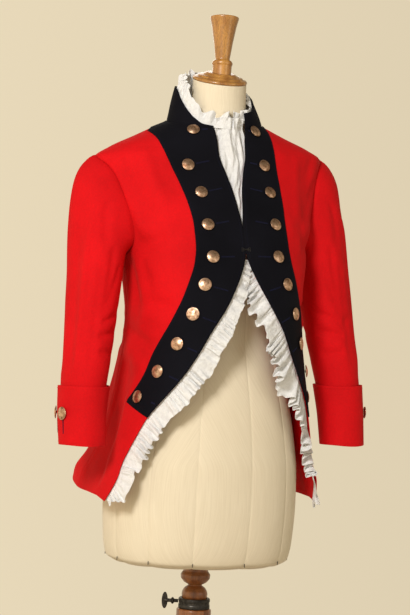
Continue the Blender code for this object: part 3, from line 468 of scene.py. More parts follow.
class Bench:
    """Modelling steps that the pieces share."""

    @staticmethod
    def clear() -> None:
        """Deselect everything, in object mode."""
        if bpy.context.object and bpy.context.object.mode != "OBJECT":
            bpy.ops.object.mode_set(mode="OBJECT")
        bpy.ops.object.select_all(action="DESELECT")

    @staticmethod
    def pick(thing: Piece) -> None:
        """Select one object and make it the active one."""
        Bench.clear()
        thing.select_set(True)
        bpy.context.view_layer.objects.active = thing

    @staticmethod
    def name(thing: Piece, name: str) -> Piece:
        """Name an object and its mesh."""
        thing.name = name
        thing.data.name = name
        return thing

    @staticmethod
    def merge(thing: Piece, outward: bool = False) -> None:
        """Merge doubled points, and turn the faces outwards if asked."""
        Bench.pick(thing)
        bpy.ops.object.mode_set(mode="EDIT")
        bpy.ops.mesh.select_all(action="SELECT")
        bpy.ops.mesh.remove_doubles(threshold=0.000005)
        if outward:
            bpy.ops.mesh.normals_make_consistent(inside=False)
        bpy.ops.object.mode_set(mode="OBJECT")

    @staticmethod
    def sheet(name: str, points: np.ndarray, closed: bool = False) -> Piece:
        """Shape a grid primitive into a sheet of cloth, with a UV map in metres along the cloth.

        Args:
            name: Name of the piece.
            points: Points in rising rows, whose columns run so that the face looks outwards.
            closed: Whether the last column lies on the first one and is merged with it.

        Returns:
            The sheet.
        """
        rows, columns = points.shape[:2]
        Bench.clear()
        bpy.ops.mesh.primitive_grid_add(
            x_subdivisions=columns - 1, y_subdivisions=rows - 1, size=1.0, calc_uvs=True)
        thing = Bench.name(bpy.context.object, name)
        thing.data.vertices.foreach_set("co", points.reshape(-1).astype(np.float32))
        across = np.linalg.norm(np.diff(points, axis=1), axis=-1)
        along = np.linalg.norm(np.diff(points, axis=0), axis=-1)
        u = np.concatenate((np.zeros((rows, 1)), np.cumsum(across, axis=1)), axis=1)
        v = np.concatenate((np.zeros((1, columns)), np.cumsum(along, axis=0)), axis=0)
        flat = np.stack((u - u[:, columns // 2 : columns // 2 + 1], v), -1).reshape(-1, 2)
        corners = np.zeros(len(thing.data.loops), int)
        thing.data.loops.foreach_get("vertex_index", corners)
        thing.data.uv_layers[0].uv.foreach_set("vector", flat[corners].reshape(-1).astype(np.float32))
        thing.data.update()
        if closed:
            Bench.merge(thing)
        return thing

    @staticmethod
    def apply(thing: Piece, kind: str, **settings: object) -> None:
        """Add a modifier with its settings and apply it."""
        Bench.pick(thing)
        modifier = thing.modifiers.new(kind.lower(), kind)
        for key, value in settings.items():
            setattr(modifier, key, value)
        bpy.ops.object.modifier_apply(modifier=modifier.name)

    @staticmethod
    def wall(thing: Piece, thickness: float, rim: float = 0.0) -> None:
        """Give a sheet its thickness on the inside, and round its cut edges.

        Args:
            thing: The sheet.
            thickness: Thickness of the cloth.
            rim: Radius of its cut edges, 0 to leave them square.
        """
        Bench.apply(thing, "SOLIDIFY", thickness=thickness, offset=-1.0)
        if rim:
            Bench.apply(thing, "BEVEL", width=rim, segments=2, limit_method="ANGLE",
                        angle_limit=math.radians(55), use_clamp_overlap=True)

    @staticmethod
    def shade(thing: Piece, degrees: float = 50.0) -> None:
        """Shade a piece smooth, but for its sharp edges."""
        Bench.pick(thing)
        bpy.ops.object.shade_smooth_by_angle(angle=math.radians(degrees))

    @staticmethod
    def spin(name: str, profile: Sequence[Sequence[float]], steps: int = 64, hollow: bool = False) -> Piece:
        """Turn an outline about Z.

        Args:
            name: Name of the piece.
            profile: Radius and height along the outline. It starts and ends on the axis, or is a
                closed loop round a bore.
            steps: Sides of the turned piece.
            hollow: Whether the outline is a closed loop.

        Returns:
            The closed turned piece.
        """
        Bench.clear()
        bpy.ops.mesh.primitive_circle_add(vertices=len(profile), radius=1.0, fill_type="NOTHING")
        thing = Bench.name(bpy.context.object, name)
        line = np.array([(radius, 0.0, height) for radius, height in profile], np.float32)
        thing.data.vertices.foreach_set("co", line.reshape(-1))
        if not hollow:
            shape = bmesh.new()
            shape.from_mesh(thing.data)
            shape.verts.ensure_lookup_table()
            closing = shape.edges.get((shape.verts[0], shape.verts[-1]))
            shape.edges.remove(closing)
            shape.to_mesh(thing.data)
            shape.free()
        Bench.pick(thing)
        bpy.ops.object.mode_set(mode="EDIT")
        bpy.ops.mesh.select_all(action="SELECT")
        bpy.ops.mesh.spin(steps=steps, angle=2 * math.pi, center=(0, 0, 0), axis=(0, 0, 1))
        bpy.ops.object.mode_set(mode="OBJECT")
        Bench.merge(thing, outward=True)
        return thing

    @staticmethod
    def move(thing: Piece, matrix: Matrix) -> Piece:
        """Take a piece to its place in its mesh."""
        thing.data.transform(matrix)
        return thing

    @staticmethod
    def copy(thing: Piece, name: str) -> Piece:
        """Copy an object with its own mesh."""
        made = bpy.data.objects.new(name, thing.data.copy())
        made.data.name = name
        bpy.context.scene.collection.objects.link(made)
        return made

    @staticmethod
    def join(things: Sequence[Piece], name: str) -> Piece:
        """Join objects into one."""
        Bench.clear()
        for thing in things:
            thing.select_set(True)
        bpy.context.view_layer.objects.active = things[0]
        if len(things) > 1:
            bpy.ops.object.join()
        return Bench.name(bpy.context.object, name)

    @staticmethod
    def repeat(thing: Piece, places: Sequence[Matrix], name: str) -> Piece:
        """Make one mesh of many copies of a small shape.

        Args:
            thing: The shape, which is removed.
            places: Where each copy goes.
            name: Name of the new piece.

        Returns:
            The piece.
        """
        source = thing.data
        count = len(source.vertices)
        points = np.zeros(count * 3)
        source.vertices.foreach_get("co", points)
        points = points.reshape(-1, 3)
        faces = [tuple(face.vertices) for face in source.polygons]
        spots, sides = [], []
        for number, place in enumerate(places):
            turn = np.array(place)
            spots.append(points @ turn[:3, :3].T + turn[:3, 3])
            sides += [tuple(corner + number * count for corner in face) for face in faces]
        made = bpy.data.objects.new(name, bpy.data.meshes.new(name))
        made.data.from_pydata(np.concatenate(spots).tolist(), [], sides)
        bpy.context.scene.collection.objects.link(made)
        bpy.data.objects.remove(thing)
        return made

    @staticmethod
    def rounded(profile: Sequence[Sequence[float]], radius: float,
                steps: int = 4) -> list[tuple[float, float]]:
        """Round the corners of an outline.

        Args:
            profile: Radius and height along the outline.
            radius: How far from a corner the rounding starts, at most.
            steps: Points on each rounded corner.

        Returns:
            The outline with its corners rounded.
        """
        points = [np.array(point, float) for point in profile]
        line = [tuple(points[0])]
        for before, corner, after in zip(points, points[1:], points[2:]):
            back, on = before - corner, after - corner
            reach = min(radius, 0.45 * np.linalg.norm(back), 0.45 * np.linalg.norm(on))
            start = corner + back / max(np.linalg.norm(back), 1e-9) * reach
            end = corner + on / max(np.linalg.norm(on), 1e-9) * reach
            for t in np.linspace(0, 1, steps + 1):
                line.append(tuple((1 - t) ** 2 * start + 2 * t * (1 - t) * corner + t**2 * end))
        line.append(tuple(points[-1]))
        return line


class Recipe:
    """Nodes of one material."""

    def __init__(self, name: str) -> None:
        """Start a material with its own shader."""
        self.material = bpy.data.materials.new(name)
        self.material.use_nodes = True
        self.tree = self.material.node_tree
        self.shader = self.tree.nodes["Principled BSDF"]

    def node(self, kind: str, **settings: object) -> bpy.types.Node:
        """Add a node and set its properties."""
        made = self.tree.nodes.new(kind)
        for key, value in settings.items():
            setattr(made, key, value)
        return made

    def link(self, source: Socket, target: Socket) -> None:
        """Join two sockets."""
        self.tree.links.new(source, target)

    def coordinates(self, kind: str = "Object", scale: Sequence[float] = (1, 1, 1),
                    turn: float = 0.0) -> Socket:
        """Texture coordinates, scaled and turned about Z.

        Args:
            kind: Object or UV.
            scale: Scale on each axis.
            turn: Turn about Z in degrees.

        Returns:
            The vector socket.
        """
        source = self.node("ShaderNodeTexCoord").outputs[kind]
        mapping = self.node("ShaderNodeMapping")
        mapping.inputs["Scale"].default_value = scale
        mapping.inputs["Rotation"].default_value = (0.0, 0.0, math.radians(turn))
        self.link(source, mapping.inputs["Vector"])
        return mapping.outputs["Vector"]

    def noise(self, vector: Socket, scale: float, detail: float = 3.0, rough: float = 0.55) -> Socket:
        """Noise of a given scale."""
        made = self.node("ShaderNodeTexNoise")
        made.inputs["Scale"].default_value = scale
        made.inputs["Detail"].default_value = detail
        made.inputs["Roughness"].default_value = rough
        self.link(vector, made.inputs["Vector"])
        return made.outputs[0]

    def bands(self, vector: Socket, period: float, axis: str = "X", distortion: float = 0.0) -> Socket:
        """Sine bands of a given period in metres."""
        made = self.node("ShaderNodeTexWave", wave_type="BANDS", bands_direction=axis)
        made.inputs["Scale"].default_value = math.pi / 10 / period
        made.inputs["Distortion"].default_value = distortion
        self.link(vector, made.inputs["Vector"])
        return made.outputs[1]

    def ramp(self, factor: Socket, stops: Sequence[tuple[float, Colour]]) -> Socket:
        """Colour ramp.

        Args:
            factor: What it reads.
            stops: Position and colour of each stop.

        Returns:
            The colour socket.
        """
        made = self.node("ShaderNodeValToRGB")
        elements = made.color_ramp.elements
        while len(elements) < len(stops):
            elements.new(0.5)
        for element, (position, colour) in zip(elements, stops):
            element.position = position
            element.color = (*colour, 1.0)
        self.link(factor, made.inputs["Fac"])
        return made.outputs["Color"]

    def math(self, operation: str, first: object, second: object) -> Socket:
        """Arithmetic on two sockets or numbers."""
        made = self.node("ShaderNodeMath", operation=operation)
        for socket, value in zip(made.inputs, (first, second)):
            if isinstance(value, (int, float)):
                socket.default_value = value
            else:
                self.link(value, socket)
        return made.outputs[0]

    def multiply(self, first: Socket, second: Socket) -> Socket:
        """Product of two colours."""
        made = self.node("ShaderNodeMix", data_type="RGBA", blend_type="MULTIPLY")
        made.inputs[0].default_value = 1.0
        self.link(first, made.inputs[6])
        self.link(second, made.inputs[7])
        return made.outputs[2]

    def bump(self, height: Socket, distance: float, strength: float,
             under: Socket | None = None) -> Socket:
        """Bump from a height.

        Args:
            height: The height, 0 to 1.
            distance: Its depth in metres.
            strength: Its share.
            under: A bump that it lies on.

        Returns:
            The normal socket.
        """
        made = self.node("ShaderNodeBump")
        made.inputs["Distance"].default_value = distance
        made.inputs["Strength"].default_value = strength
        self.link(height, made.inputs["Height"])
        if under:
            self.link(under, made.inputs["Normal"])
        return made.outputs["Normal"]

    def finish(self, colour: Socket, normal: Socket, **values: object) -> bpy.types.Material:
        """Join the colour and the bump, and set the shader's own values.

        Args:
            colour: Base colour.
            normal: Bump.
            values: Values of the shader's sockets, with _ for a space.

        Returns:
            The material.
        """
        self.link(colour, self.shader.inputs["Base Color"])
        self.link(normal, self.shader.inputs["Normal"])
        for key, value in values.items():
            self.shader.inputs[key.replace("_", " ")].default_value = value
        return self.material


@dataclass(frozen=True)
class Broadcloth:
    """Fulled wool with a short nap."""

    slot: Slot
    colour: Colour
    shade: Colour
    sheen: Colour
    sheen_weight: float = 0.22
    gloss: float = 0.16
    fibre_scale: float = 1500.0
    nap_scale: float = 260.0

    def make(self) -> bpy.types.Material:
        """Material of the cloth."""
        recipe = Recipe(self.slot.value + "_cloth")
        place = recipe.coordinates()
        nap = recipe.noise(place, self.nap_scale, 4.0, 0.7)
        fibre = recipe.noise(recipe.coordinates(scale=(1.0, 1.0, 0.35)), self.fibre_scale, 2.0, 0.6)
        ground_colour = recipe.ramp(recipe.noise(place, 11.0, 3.0), ((0.25, self.shade), (0.70, self.colour)))
        tint = recipe.ramp(nap, ((0.2, (0.80, 0.80, 0.80)), (0.8, (1.0, 1.0, 1.0))))
        wale = recipe.bands(recipe.coordinates("UV", turn=38.0), 0.0011, distortion=1.5)
        low = recipe.bump(nap, 0.0007, 0.35)
        low = recipe.bump(wale, 0.00025, 0.25, low)
        high = recipe.bump(fibre, 0.0004, 0.4, low)
        rough = recipe.ramp(nap, ((0.2, (0.78,) * 3), (0.8, (0.92,) * 3)))
        recipe.link(rough, recipe.shader.inputs["Roughness"])
        return recipe.finish(
            recipe.multiply(ground_colour, tint), high, Sheen_Weight=self.sheen_weight, Sheen_Roughness=0.45,
            Sheen_Tint=(*self.sheen, 1.0), Specular_IOR_Level=self.gloss)


@dataclass(frozen=True)
class Muslin:
    """Thin white cotton, crumpled and limp, with painted shade in the hollows of its crumples."""

    slot: Slot = Slot.COTTON
    colour: Colour = (0.87, 0.88, 0.90)
    # painted shade: the colour given to the hollows of the crumples
    shade: Colour = (0.75, 0.76, 0.79)
    thread: float = 0.0006

    def make(self) -> bpy.types.Material:
        """Material of the cotton."""
        recipe = Recipe(self.slot.value + "_cloth")
        place = recipe.coordinates()
        weave = recipe.math(
            "MULTIPLY", recipe.bands(recipe.coordinates("UV"), self.thread),
            recipe.bands(recipe.coordinates("UV"), self.thread, "Y"))
        crumple_and_shade = recipe.noise(place, 95.0, 4.0, 0.62)
        # painted shade: the white turns to the shade colour where the crumple bump is low
        ground_colour = recipe.ramp(crumple_and_shade, ((0.25, self.shade), (0.55, self.colour)))
        slubs = recipe.ramp(recipe.noise(place, 700.0, 2.0), ((0.2, (0.93,) * 3), (0.7, (1.0,) * 3)))
        low = recipe.bump(crumple_and_shade, 0.0065, 0.70)
        high = recipe.bump(weave, 0.00020, 0.3, low)
        return recipe.finish(
            recipe.multiply(ground_colour, slubs), high, Roughness=0.85, Sheen_Weight=0.15, Specular_IOR_Level=0.2,
            Subsurface_Weight=0.12, Subsurface_Radius=(0.01, 0.01, 0.01), Subsurface_Scale=0.4)


@dataclass(frozen=True)
class FormLinen:
    """Unbleached linen stretched over the form."""

    slot: Slot = Slot.LINEN
    colour: Colour = (0.82, 0.735, 0.575)
    shade: Colour = (0.79, 0.70, 0.54)
    thread: float = 0.0010

    def make(self) -> bpy.types.Material:
        """Material of the covering."""
        recipe = Recipe(self.slot.value + "_cover")
        place = recipe.coordinates()
        weave = recipe.math(
            "ADD", recipe.bands(recipe.coordinates("UV"), self.thread, distortion=0.6),
            recipe.bands(recipe.coordinates("UV"), self.thread, "Y", 0.6))
        weave = recipe.math("MULTIPLY", weave, 0.5)
        slubs = recipe.noise(recipe.coordinates("UV", (420.0, 14.0, 1.0)), 1.0, 3.0)
        stains = recipe.ramp(recipe.noise(place, 5.0, 4.0), ((0.3, self.shade), (0.62, self.colour)))
        streaks = recipe.ramp(slubs, ((0.3, (0.93, 0.92, 0.90)), (0.65, (1.0, 1.0, 1.0))))
        low = recipe.bump(slubs, 0.0003, 0.35)
        high = recipe.bump(weave, 0.00025, 0.35, low)
        return recipe.finish(
            recipe.multiply(stains, streaks), high, Roughness=0.82, Sheen_Weight=0.12,
            Specular_IOR_Level=0.25)


@dataclass(frozen=True)
class TurnedWood:
    """Varnished wood with its grain along the turning axis."""

    slot: Slot
    light: Colour
    dark: Colour
    coat: float = 0.45

    def make(self) -> bpy.types.Material:
        """Material of the wood."""
        recipe = Recipe(self.slot.value + "_varnished")
        long = recipe.coordinates(scale=(1.0, 1.0, 0.10))
        figure = recipe.noise(long, 70.0, 5.0, 0.6)
        pores = recipe.noise(recipe.coordinates(scale=(1.0, 1.0, 0.04)), 900.0, 2.0)
        lathe = recipe.noise(recipe.coordinates(scale=(0.02, 0.02, 1.0)), 700.0, 2.0)
        middle = tuple(0.5 * (a + b) for a, b in zip(self.light, self.dark))
        grain = recipe.ramp(figure, ((0.34, self.dark), (0.50, middle), (0.66, self.light)))
        pored = recipe.multiply(grain, recipe.ramp(pores, ((0.36, (0.62,) * 3), (0.48, (1.0,) * 3))))
        worn = recipe.ramp(
            recipe.noise(recipe.coordinates(), 18.0, 3.0), ((0.3, (0.82,) * 3), (0.6, (1.0,) * 3)))
        low = recipe.bump(pores, 0.0002, 0.3)
        high = recipe.bump(lathe, 0.0002, 0.3, low)
        rough = recipe.ramp(figure, ((0.3, (0.46,) * 3), (0.7, (0.30,) * 3)))
        recipe.link(rough, recipe.shader.inputs["Roughness"])
        return recipe.finish(
            recipe.multiply(pored, worn), high, Coat_Weight=self.coat, Coat_Roughness=0.16)


@dataclass(frozen=True)
class WornMetal:
    """Metal, rubbed bright in places and dark in others."""

    slot: Slot
    name: str
    bright: Colour
    dark: Colour
    metallic: float = 1.0
    rough: tuple[float, float] = (0.28, 0.55)
    scale: float = 160.0

    def make(self) -> bpy.types.Material:
        """Material of the metal."""
        recipe = Recipe(self.name)
        place = recipe.coordinates()
        wear = recipe.noise(place, self.scale, 5.0, 0.65)
        scratches = recipe.noise(recipe.coordinates(scale=(1.0, 0.12, 1.0), turn=30.0), 1800.0, 2.0)
        colour = recipe.ramp(wear, ((0.36, self.dark), (0.60, self.bright)))
        rough = recipe.ramp(wear, ((0.3, (self.rough[1],) * 3), (0.65, (self.rough[0],) * 3)))
        recipe.link(rough, recipe.shader.inputs["Roughness"])
        low = recipe.bump(wear, 0.0003, 0.3)
        high = recipe.bump(scratches, 0.00008, 0.35, low)
        return recipe.finish(colour, high, Metallic=self.metallic)


@dataclass(frozen=True)
class Thread:
    """Twisted sewing silk."""

    slot: Slot
    name: str
    colour: Colour
    shade: Colour

    def make(self) -> bpy.types.Material:
        """Material of the thread."""
        recipe = Recipe(self.name)
        place = recipe.coordinates()
        twist = recipe.noise(place, 2600.0, 2.0)
        colour = recipe.ramp(twist, ((0.3, self.shade), (0.7, self.colour)))
        return recipe.finish(
            colour, recipe.bump(twist, 0.0002, 0.5), Roughness=0.70, Specular_IOR_Level=0.12)


@dataclass(frozen=True)
class Plaster:
    """Pale painted studio floor."""

    colour: Colour = (0.72, 0.64, 0.50)
    shade: Colour = (0.66, 0.58, 0.45)

    def make(self) -> bpy.types.Material:
        """Material of the floor."""
        recipe = Recipe("floor_paint")
        place = recipe.coordinates()
        ground_colour = recipe.ramp(recipe.noise(place, 1.4, 4.0), ((0.3, self.shade), (0.7, self.colour)))
        return recipe.finish(ground_colour, recipe.bump(recipe.noise(place, 90.0), 0.001, 0.2), Roughness=0.9)


class Finishes:
    """Every finish of the object, made once."""

    def __init__(self) -> None:
        """Make the materials."""
        self.scarlet = Broadcloth(
            Slot.SCARLET, (0.76, 0.004, 0.008), (0.62, 0.003, 0.006), (1.0, 0.06, 0.05), 0.10).make()
        self.navy = Broadcloth(
            Slot.NAVY, (0.0050, 0.0050, 0.0090), (0.0028, 0.0028, 0.0052), (0.35, 0.38, 0.50),
            0.02, 0.10).make()
        self.muslin = Muslin().make()
        self.linen = FormLinen().make()
        self.honey = TurnedWood(Slot.HONEY, (0.60, 0.30, 0.075), (0.36, 0.145, 0.030)).make()
        self.brown = TurnedWood(Slot.BROWN, (0.36, 0.130, 0.036), (0.16, 0.045, 0.012)).make()
        self.brass = WornMetal(
            Slot.BRASS, "worn_copper_brass", (0.78, 0.53, 0.37), (0.26, 0.13, 0.070)).make()
        self.iron = WornMetal(
            Slot.IRON, "black_iron_worn", (0.060, 0.055, 0.050), (0.018, 0.017, 0.016),
            0.7, (0.35, 0.6)).make()
        self.blue_silk = Thread(Slot.NAVY, "blue_silk", (0.012, 0.013, 0.042), (0.005, 0.006, 0.020)).make()
        self.red_silk = Thread(Slot.SCARLET, "red_silk", (0.70, 0.012, 0.016), (0.42, 0.006, 0.010)).make()


def dress(
    thing: Piece, material: bpy.types.Material, nodes: Sequence[str] = (), degrees: float = 50.0
) -> Piece:
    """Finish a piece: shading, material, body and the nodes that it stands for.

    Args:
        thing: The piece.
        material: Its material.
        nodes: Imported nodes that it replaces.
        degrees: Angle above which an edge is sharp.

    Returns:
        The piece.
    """
    Bench.shade(thing, degrees)
    thing.data.materials.clear()
    thing.data.materials.append(material)
    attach(thing, BODY)
    if nodes:
        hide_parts(*nodes)
    LOG.info("%s: %d faces", thing.name, len(thing.data.polygons))
    return thing


def creased(angle: np.ndarray, height: np.ndarray, rows: Table, metre_a_degree: float) -> np.ndarray:
    """Depth of creases given one by one.

    Args:
        angle: Angles in radians.
        height: Heights.
        rows: For each crease the angle in degrees and height of its start and of its end, its
            width and its depth. A ridge has a depth below 0.
        metre_a_degree: Length of a degree round the piece.

    Returns:
        How far each point moves outwards.
    """
    across = np.degrees(angle) * metre_a_degree
    total = np.zeros(np.broadcast(across, height).shape)
    for start, low, end, high, width, depth in rows:
        line = np.array([(end - start) * metre_a_degree, high - low])
        away_x, away_z = across - start * metre_a_degree, height - low
        share = np.clip((away_x * line[0] + away_z * line[1]) / (line @ line), 0, 1)
        away = np.hypot(away_x - share * line[0], away_z - share * line[1])
        swell = 0.55 + 0.45 * np.sin(math.pi * np.clip(0.15 + 0.7 * share, 0, 1))
        spread = width * (0.8 + 0.4 * share)
        total -= depth * swell * np.exp(-((away / spread) ** 2))
    return total


def unevenness(across: np.ndarray, height: np.ndarray, size: float, length: float, seed: float) -> np.ndarray:
    """Soft wander of a cloth surface, worked out from a few crossing waves.

    Args:
        across: Distance or angle across the piece, in metres.
        height: Height.
        size: How far it wanders.
        length: Length of its waves.
        seed: Shifts the waves.

    Returns:
        How far each point moves outwards.
    """
    k = 2 * math.pi / length
    wave = np.sin(k * across + 1.7 * np.sin(0.61 * k * height + seed) + seed)
    cross = np.sin(0.73 * k * height + 1.3 * np.sin(0.83 * k * across + 2 * seed) + 3 * seed)
    small = np.sin(1.9 * k * (0.7 * across - 0.6 * height) + 5 * seed)
    return size * (0.5 * wave * cross + 0.35 * wave + 0.25 * small)


@dataclass(frozen=True)
class Sewn:
    """What the sewn sub-assemblies share: where they are cut and what they are made of."""

    cutting: Cutting
    finishes: Finishes
    cloth: float = 0.0020
    facing_lift: float = 0.0019
    facing_cloth: float = 0.0012
    cotton: float = 0.0006

    @property
    def figure(self) -> Figure:
        """The body surface."""
        return self.cutting.figure


@dataclass(frozen=True)
class Body(Sewn):
    """Fronts, backs and dark facings."""

    front_cut: tuple[float, float, float] = (0.30, 0.73, 0.135)
    back_cut: tuple[float, float, float] = (0.28, 0.66, 0.152)
    facing_cut: tuple[float, float, float] = (0.20, 0.58, 0.052)
    metre_a_degree: float = 0.0030
    crease_share: float = 1.35
    roll: float = 0.0009
    roll_width: float = 0.0021
    # angle and height of each end, width, depth
    front_creases: Table = (
        (48.0, 1.166, 74.0, 1.156, 0.013, 0.0034), (52.0, 1.195, 76.0, 1.200, 0.016, -0.0026),
        (86.0, 1.125, 80.0, 1.030, 0.015, 0.0050), (70.0, 1.120, 64.0, 1.045, 0.016, 0.0022),
        (48.0, 1.046, 72.0, 1.056, 0.009, 0.0030), (58.0, 1.024, 80.0, 1.030, 0.014, -0.0036),
        (62.0, 0.972, 89.0, 1.002, 0.011, 0.0046), (70.0, 0.940, 84.0, 0.955, 0.013, -0.0030),
        (86.0, 0.935, 80.0, 0.740, 0.022, 0.0070), (72.0, 0.900, 66.0, 0.760, 0.020, -0.0030),
        (43.0, 1.325, 40.0, 1.230, 0.013, -0.0022), (56.0, 1.320, 50.0, 1.235, 0.014, 0.0022),
        (62.0, 1.270, 50.0, 1.200, 0.016, 0.0016),
    )
    back_creases: Table = (
        (120.0, 1.260, 128.0, 1.130, 0.016, 0.0034), (136.0, 1.240, 140.0, 1.120, 0.018, -0.0022),
        (104.0, 1.015, 134.0, 1.025, 0.010, 0.0036), (108.0, 0.985, 128.0, 0.990, 0.011, 0.0024),
        (112.0, 1.060, 146.0, 1.046, 0.012, 0.0026), (150.0, 1.020, 172.0, 1.030, 0.012, 0.0018),
        (112.0, 0.960, 108.0, 0.750, 0.020, -0.0050), (132.0, 0.940, 128.0, 0.760, 0.022, 0.0064),
        (152.0, 0.950, 150.0, 0.770, 0.018, -0.0046), (166.0, 0.960, 164.0, 0.770, 0.014, 0.0036),
        (158.0, 1.300, 166.0, 1.180, 0.020, 0.0020),
    )
    # rounds of the facing over the front's edge, and how far it runs on inside
    wrap_radius: float = 0.00155
    wrap_steps: int = 6
    wrap_inside: tuple[float, ...] = (0.0010, 0.0022)

    def drape(self, angle: np.ndarray, height: np.ndarray, creases: Table, hand: Hand) -> np.ndarray:
        """How far the cloth stands off the plain surface, less at the shoulders."""
        shift = math.radians(2.0 * hand.value)
        stretch = 1.0 + 0.25 * hand.value * np.sin(9.0 * height)
        depth = creased(angle + shift, height + 0.004 * hand.value, creases, self.metre_a_degree)
        depth *= stretch * self.crease_share
        across = np.degrees(angle) * self.metre_a_degree
        depth += unevenness(across, height, 0.0011, 0.085, 1.3 + hand.value)
        return depth * ease((1.362 - height) / 0.035)

    def make_front(self, hand: Hand) -> None:
        """Front panel, from its curved edge to the side seam, armhole and shoulder seam."""
        rows = self.cutting.rows()
        edge = self.cutting.facing(hand, rows, self.cutting.edge_trim)
        angle, height, from_facing, from_seam = self.cutting.panel(hand, rows)
        lift = self.drape(angle, height, self.front_creases, hand)
        lift *= ease(from_facing / 0.022) * ease(from_seam / 0.016)
        lift -= self.roll * np.exp(-((from_seam / self.roll_width) ** 2))
        flat = self.figure.points(*edge)
        panel = self.figure.points(angle, height) + lift[..., None] * self.figure.normals(angle, height)
        points = self.figure.place(np.concatenate((flat, panel[:, 1:]), axis=1), hand)
        self.finish_panel(
            f"front_{hand.word}", points, hand, self.front_cut, self.finishes.scarlet, Slot.SCARLET)

    def make_back(self, hand: Hand) -> None:
        """Back panel, from the side seam to the middle seam and its vent."""
        angle, height, from_side, from_middle = self.cutting.back(self.cutting.rows())
        lift = self.drape(angle, height, self.back_creases, hand)
        lift *= ease(from_side / 0.016) * ease(from_middle / 0.014)
        for gap in (from_side, from_middle):
            lift -= self.roll * np.exp(-((gap / self.roll_width) ** 2))
        points = self.figure.points(angle, height) + lift[..., None] * self.figure.normals(angle, height)
        points = self.figure.place(points, hand)
        self.finish_panel(
            f"back_{hand.word}", points, hand, self.back_cut, self.finishes.scarlet, Slot.SCARLET)

    def make_facing(self, hand: Hand) -> None:
        """Dark facing, laid on the front and turned round its edge."""
        rows = self.cutting.rows(self.cutting.foot, self.cutting.top)
        angle, height = self.cutting.facing(hand, rows)
        surface, normal = self.figure.points(angle, height), self.figure.normals(angle, height)
        edge, out = surface[:, 0], normal[:, 0]
        ahead = unit(surface[:, 0] - surface[:, 1])
        centre = edge + (self.facing_lift - self.wrap_radius) * out
        wrap = []
        for inside in self.wrap_inside[::-1]:
            wrap.append(centre - self.wrap_radius * out - inside * ahead)
        for turn in np.linspace(math.pi, 0, self.wrap_steps + 1):
            wrap.append(centre + self.wrap_radius * (math.cos(turn) * out + math.sin(turn) * ahead))
        across = np.degrees(angle) * self.metre_a_degree
        lift = self.facing_lift + unevenness(across, height, 0.00022, 0.06, 0.7 * hand.value)
        face = surface + lift[..., None] * normal
        points = np.concatenate((np.stack(wrap, axis=1), face[:, 1:]), axis=1)
        points = self.figure.place(points, hand)
        self.finish_panel(f"lapel_{hand.word}", points, hand, self.facing_cut, self.finishes.navy, Slot.NAVY,
                          self.facing_cloth)

    def finish_panel(
        self, node: str, points: np.ndarray, hand: Hand, cut: tuple[float, float, float],
        material: bpy.types.Material, slot: Slot, thickness: float = 0.0,
    ) -> None:
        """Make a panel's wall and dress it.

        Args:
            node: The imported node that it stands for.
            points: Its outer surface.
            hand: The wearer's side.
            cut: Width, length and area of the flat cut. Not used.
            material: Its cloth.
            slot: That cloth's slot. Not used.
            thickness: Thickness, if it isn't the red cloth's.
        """
        grid = points[:, ::-1] if hand is Hand.RIGHT else points
        thing = Bench.sheet(node + "_cloth", grid)
        Bench.wall(thing, thickness or self.cloth, 0.0004)
        dress(thing, material, [node])

    def make(self) -> None:
        """Make the body's pieces on both sides."""
        for hand in Hand:
            self.make_front(hand)
            self.make_back(hand)
            self.make_facing(hand)


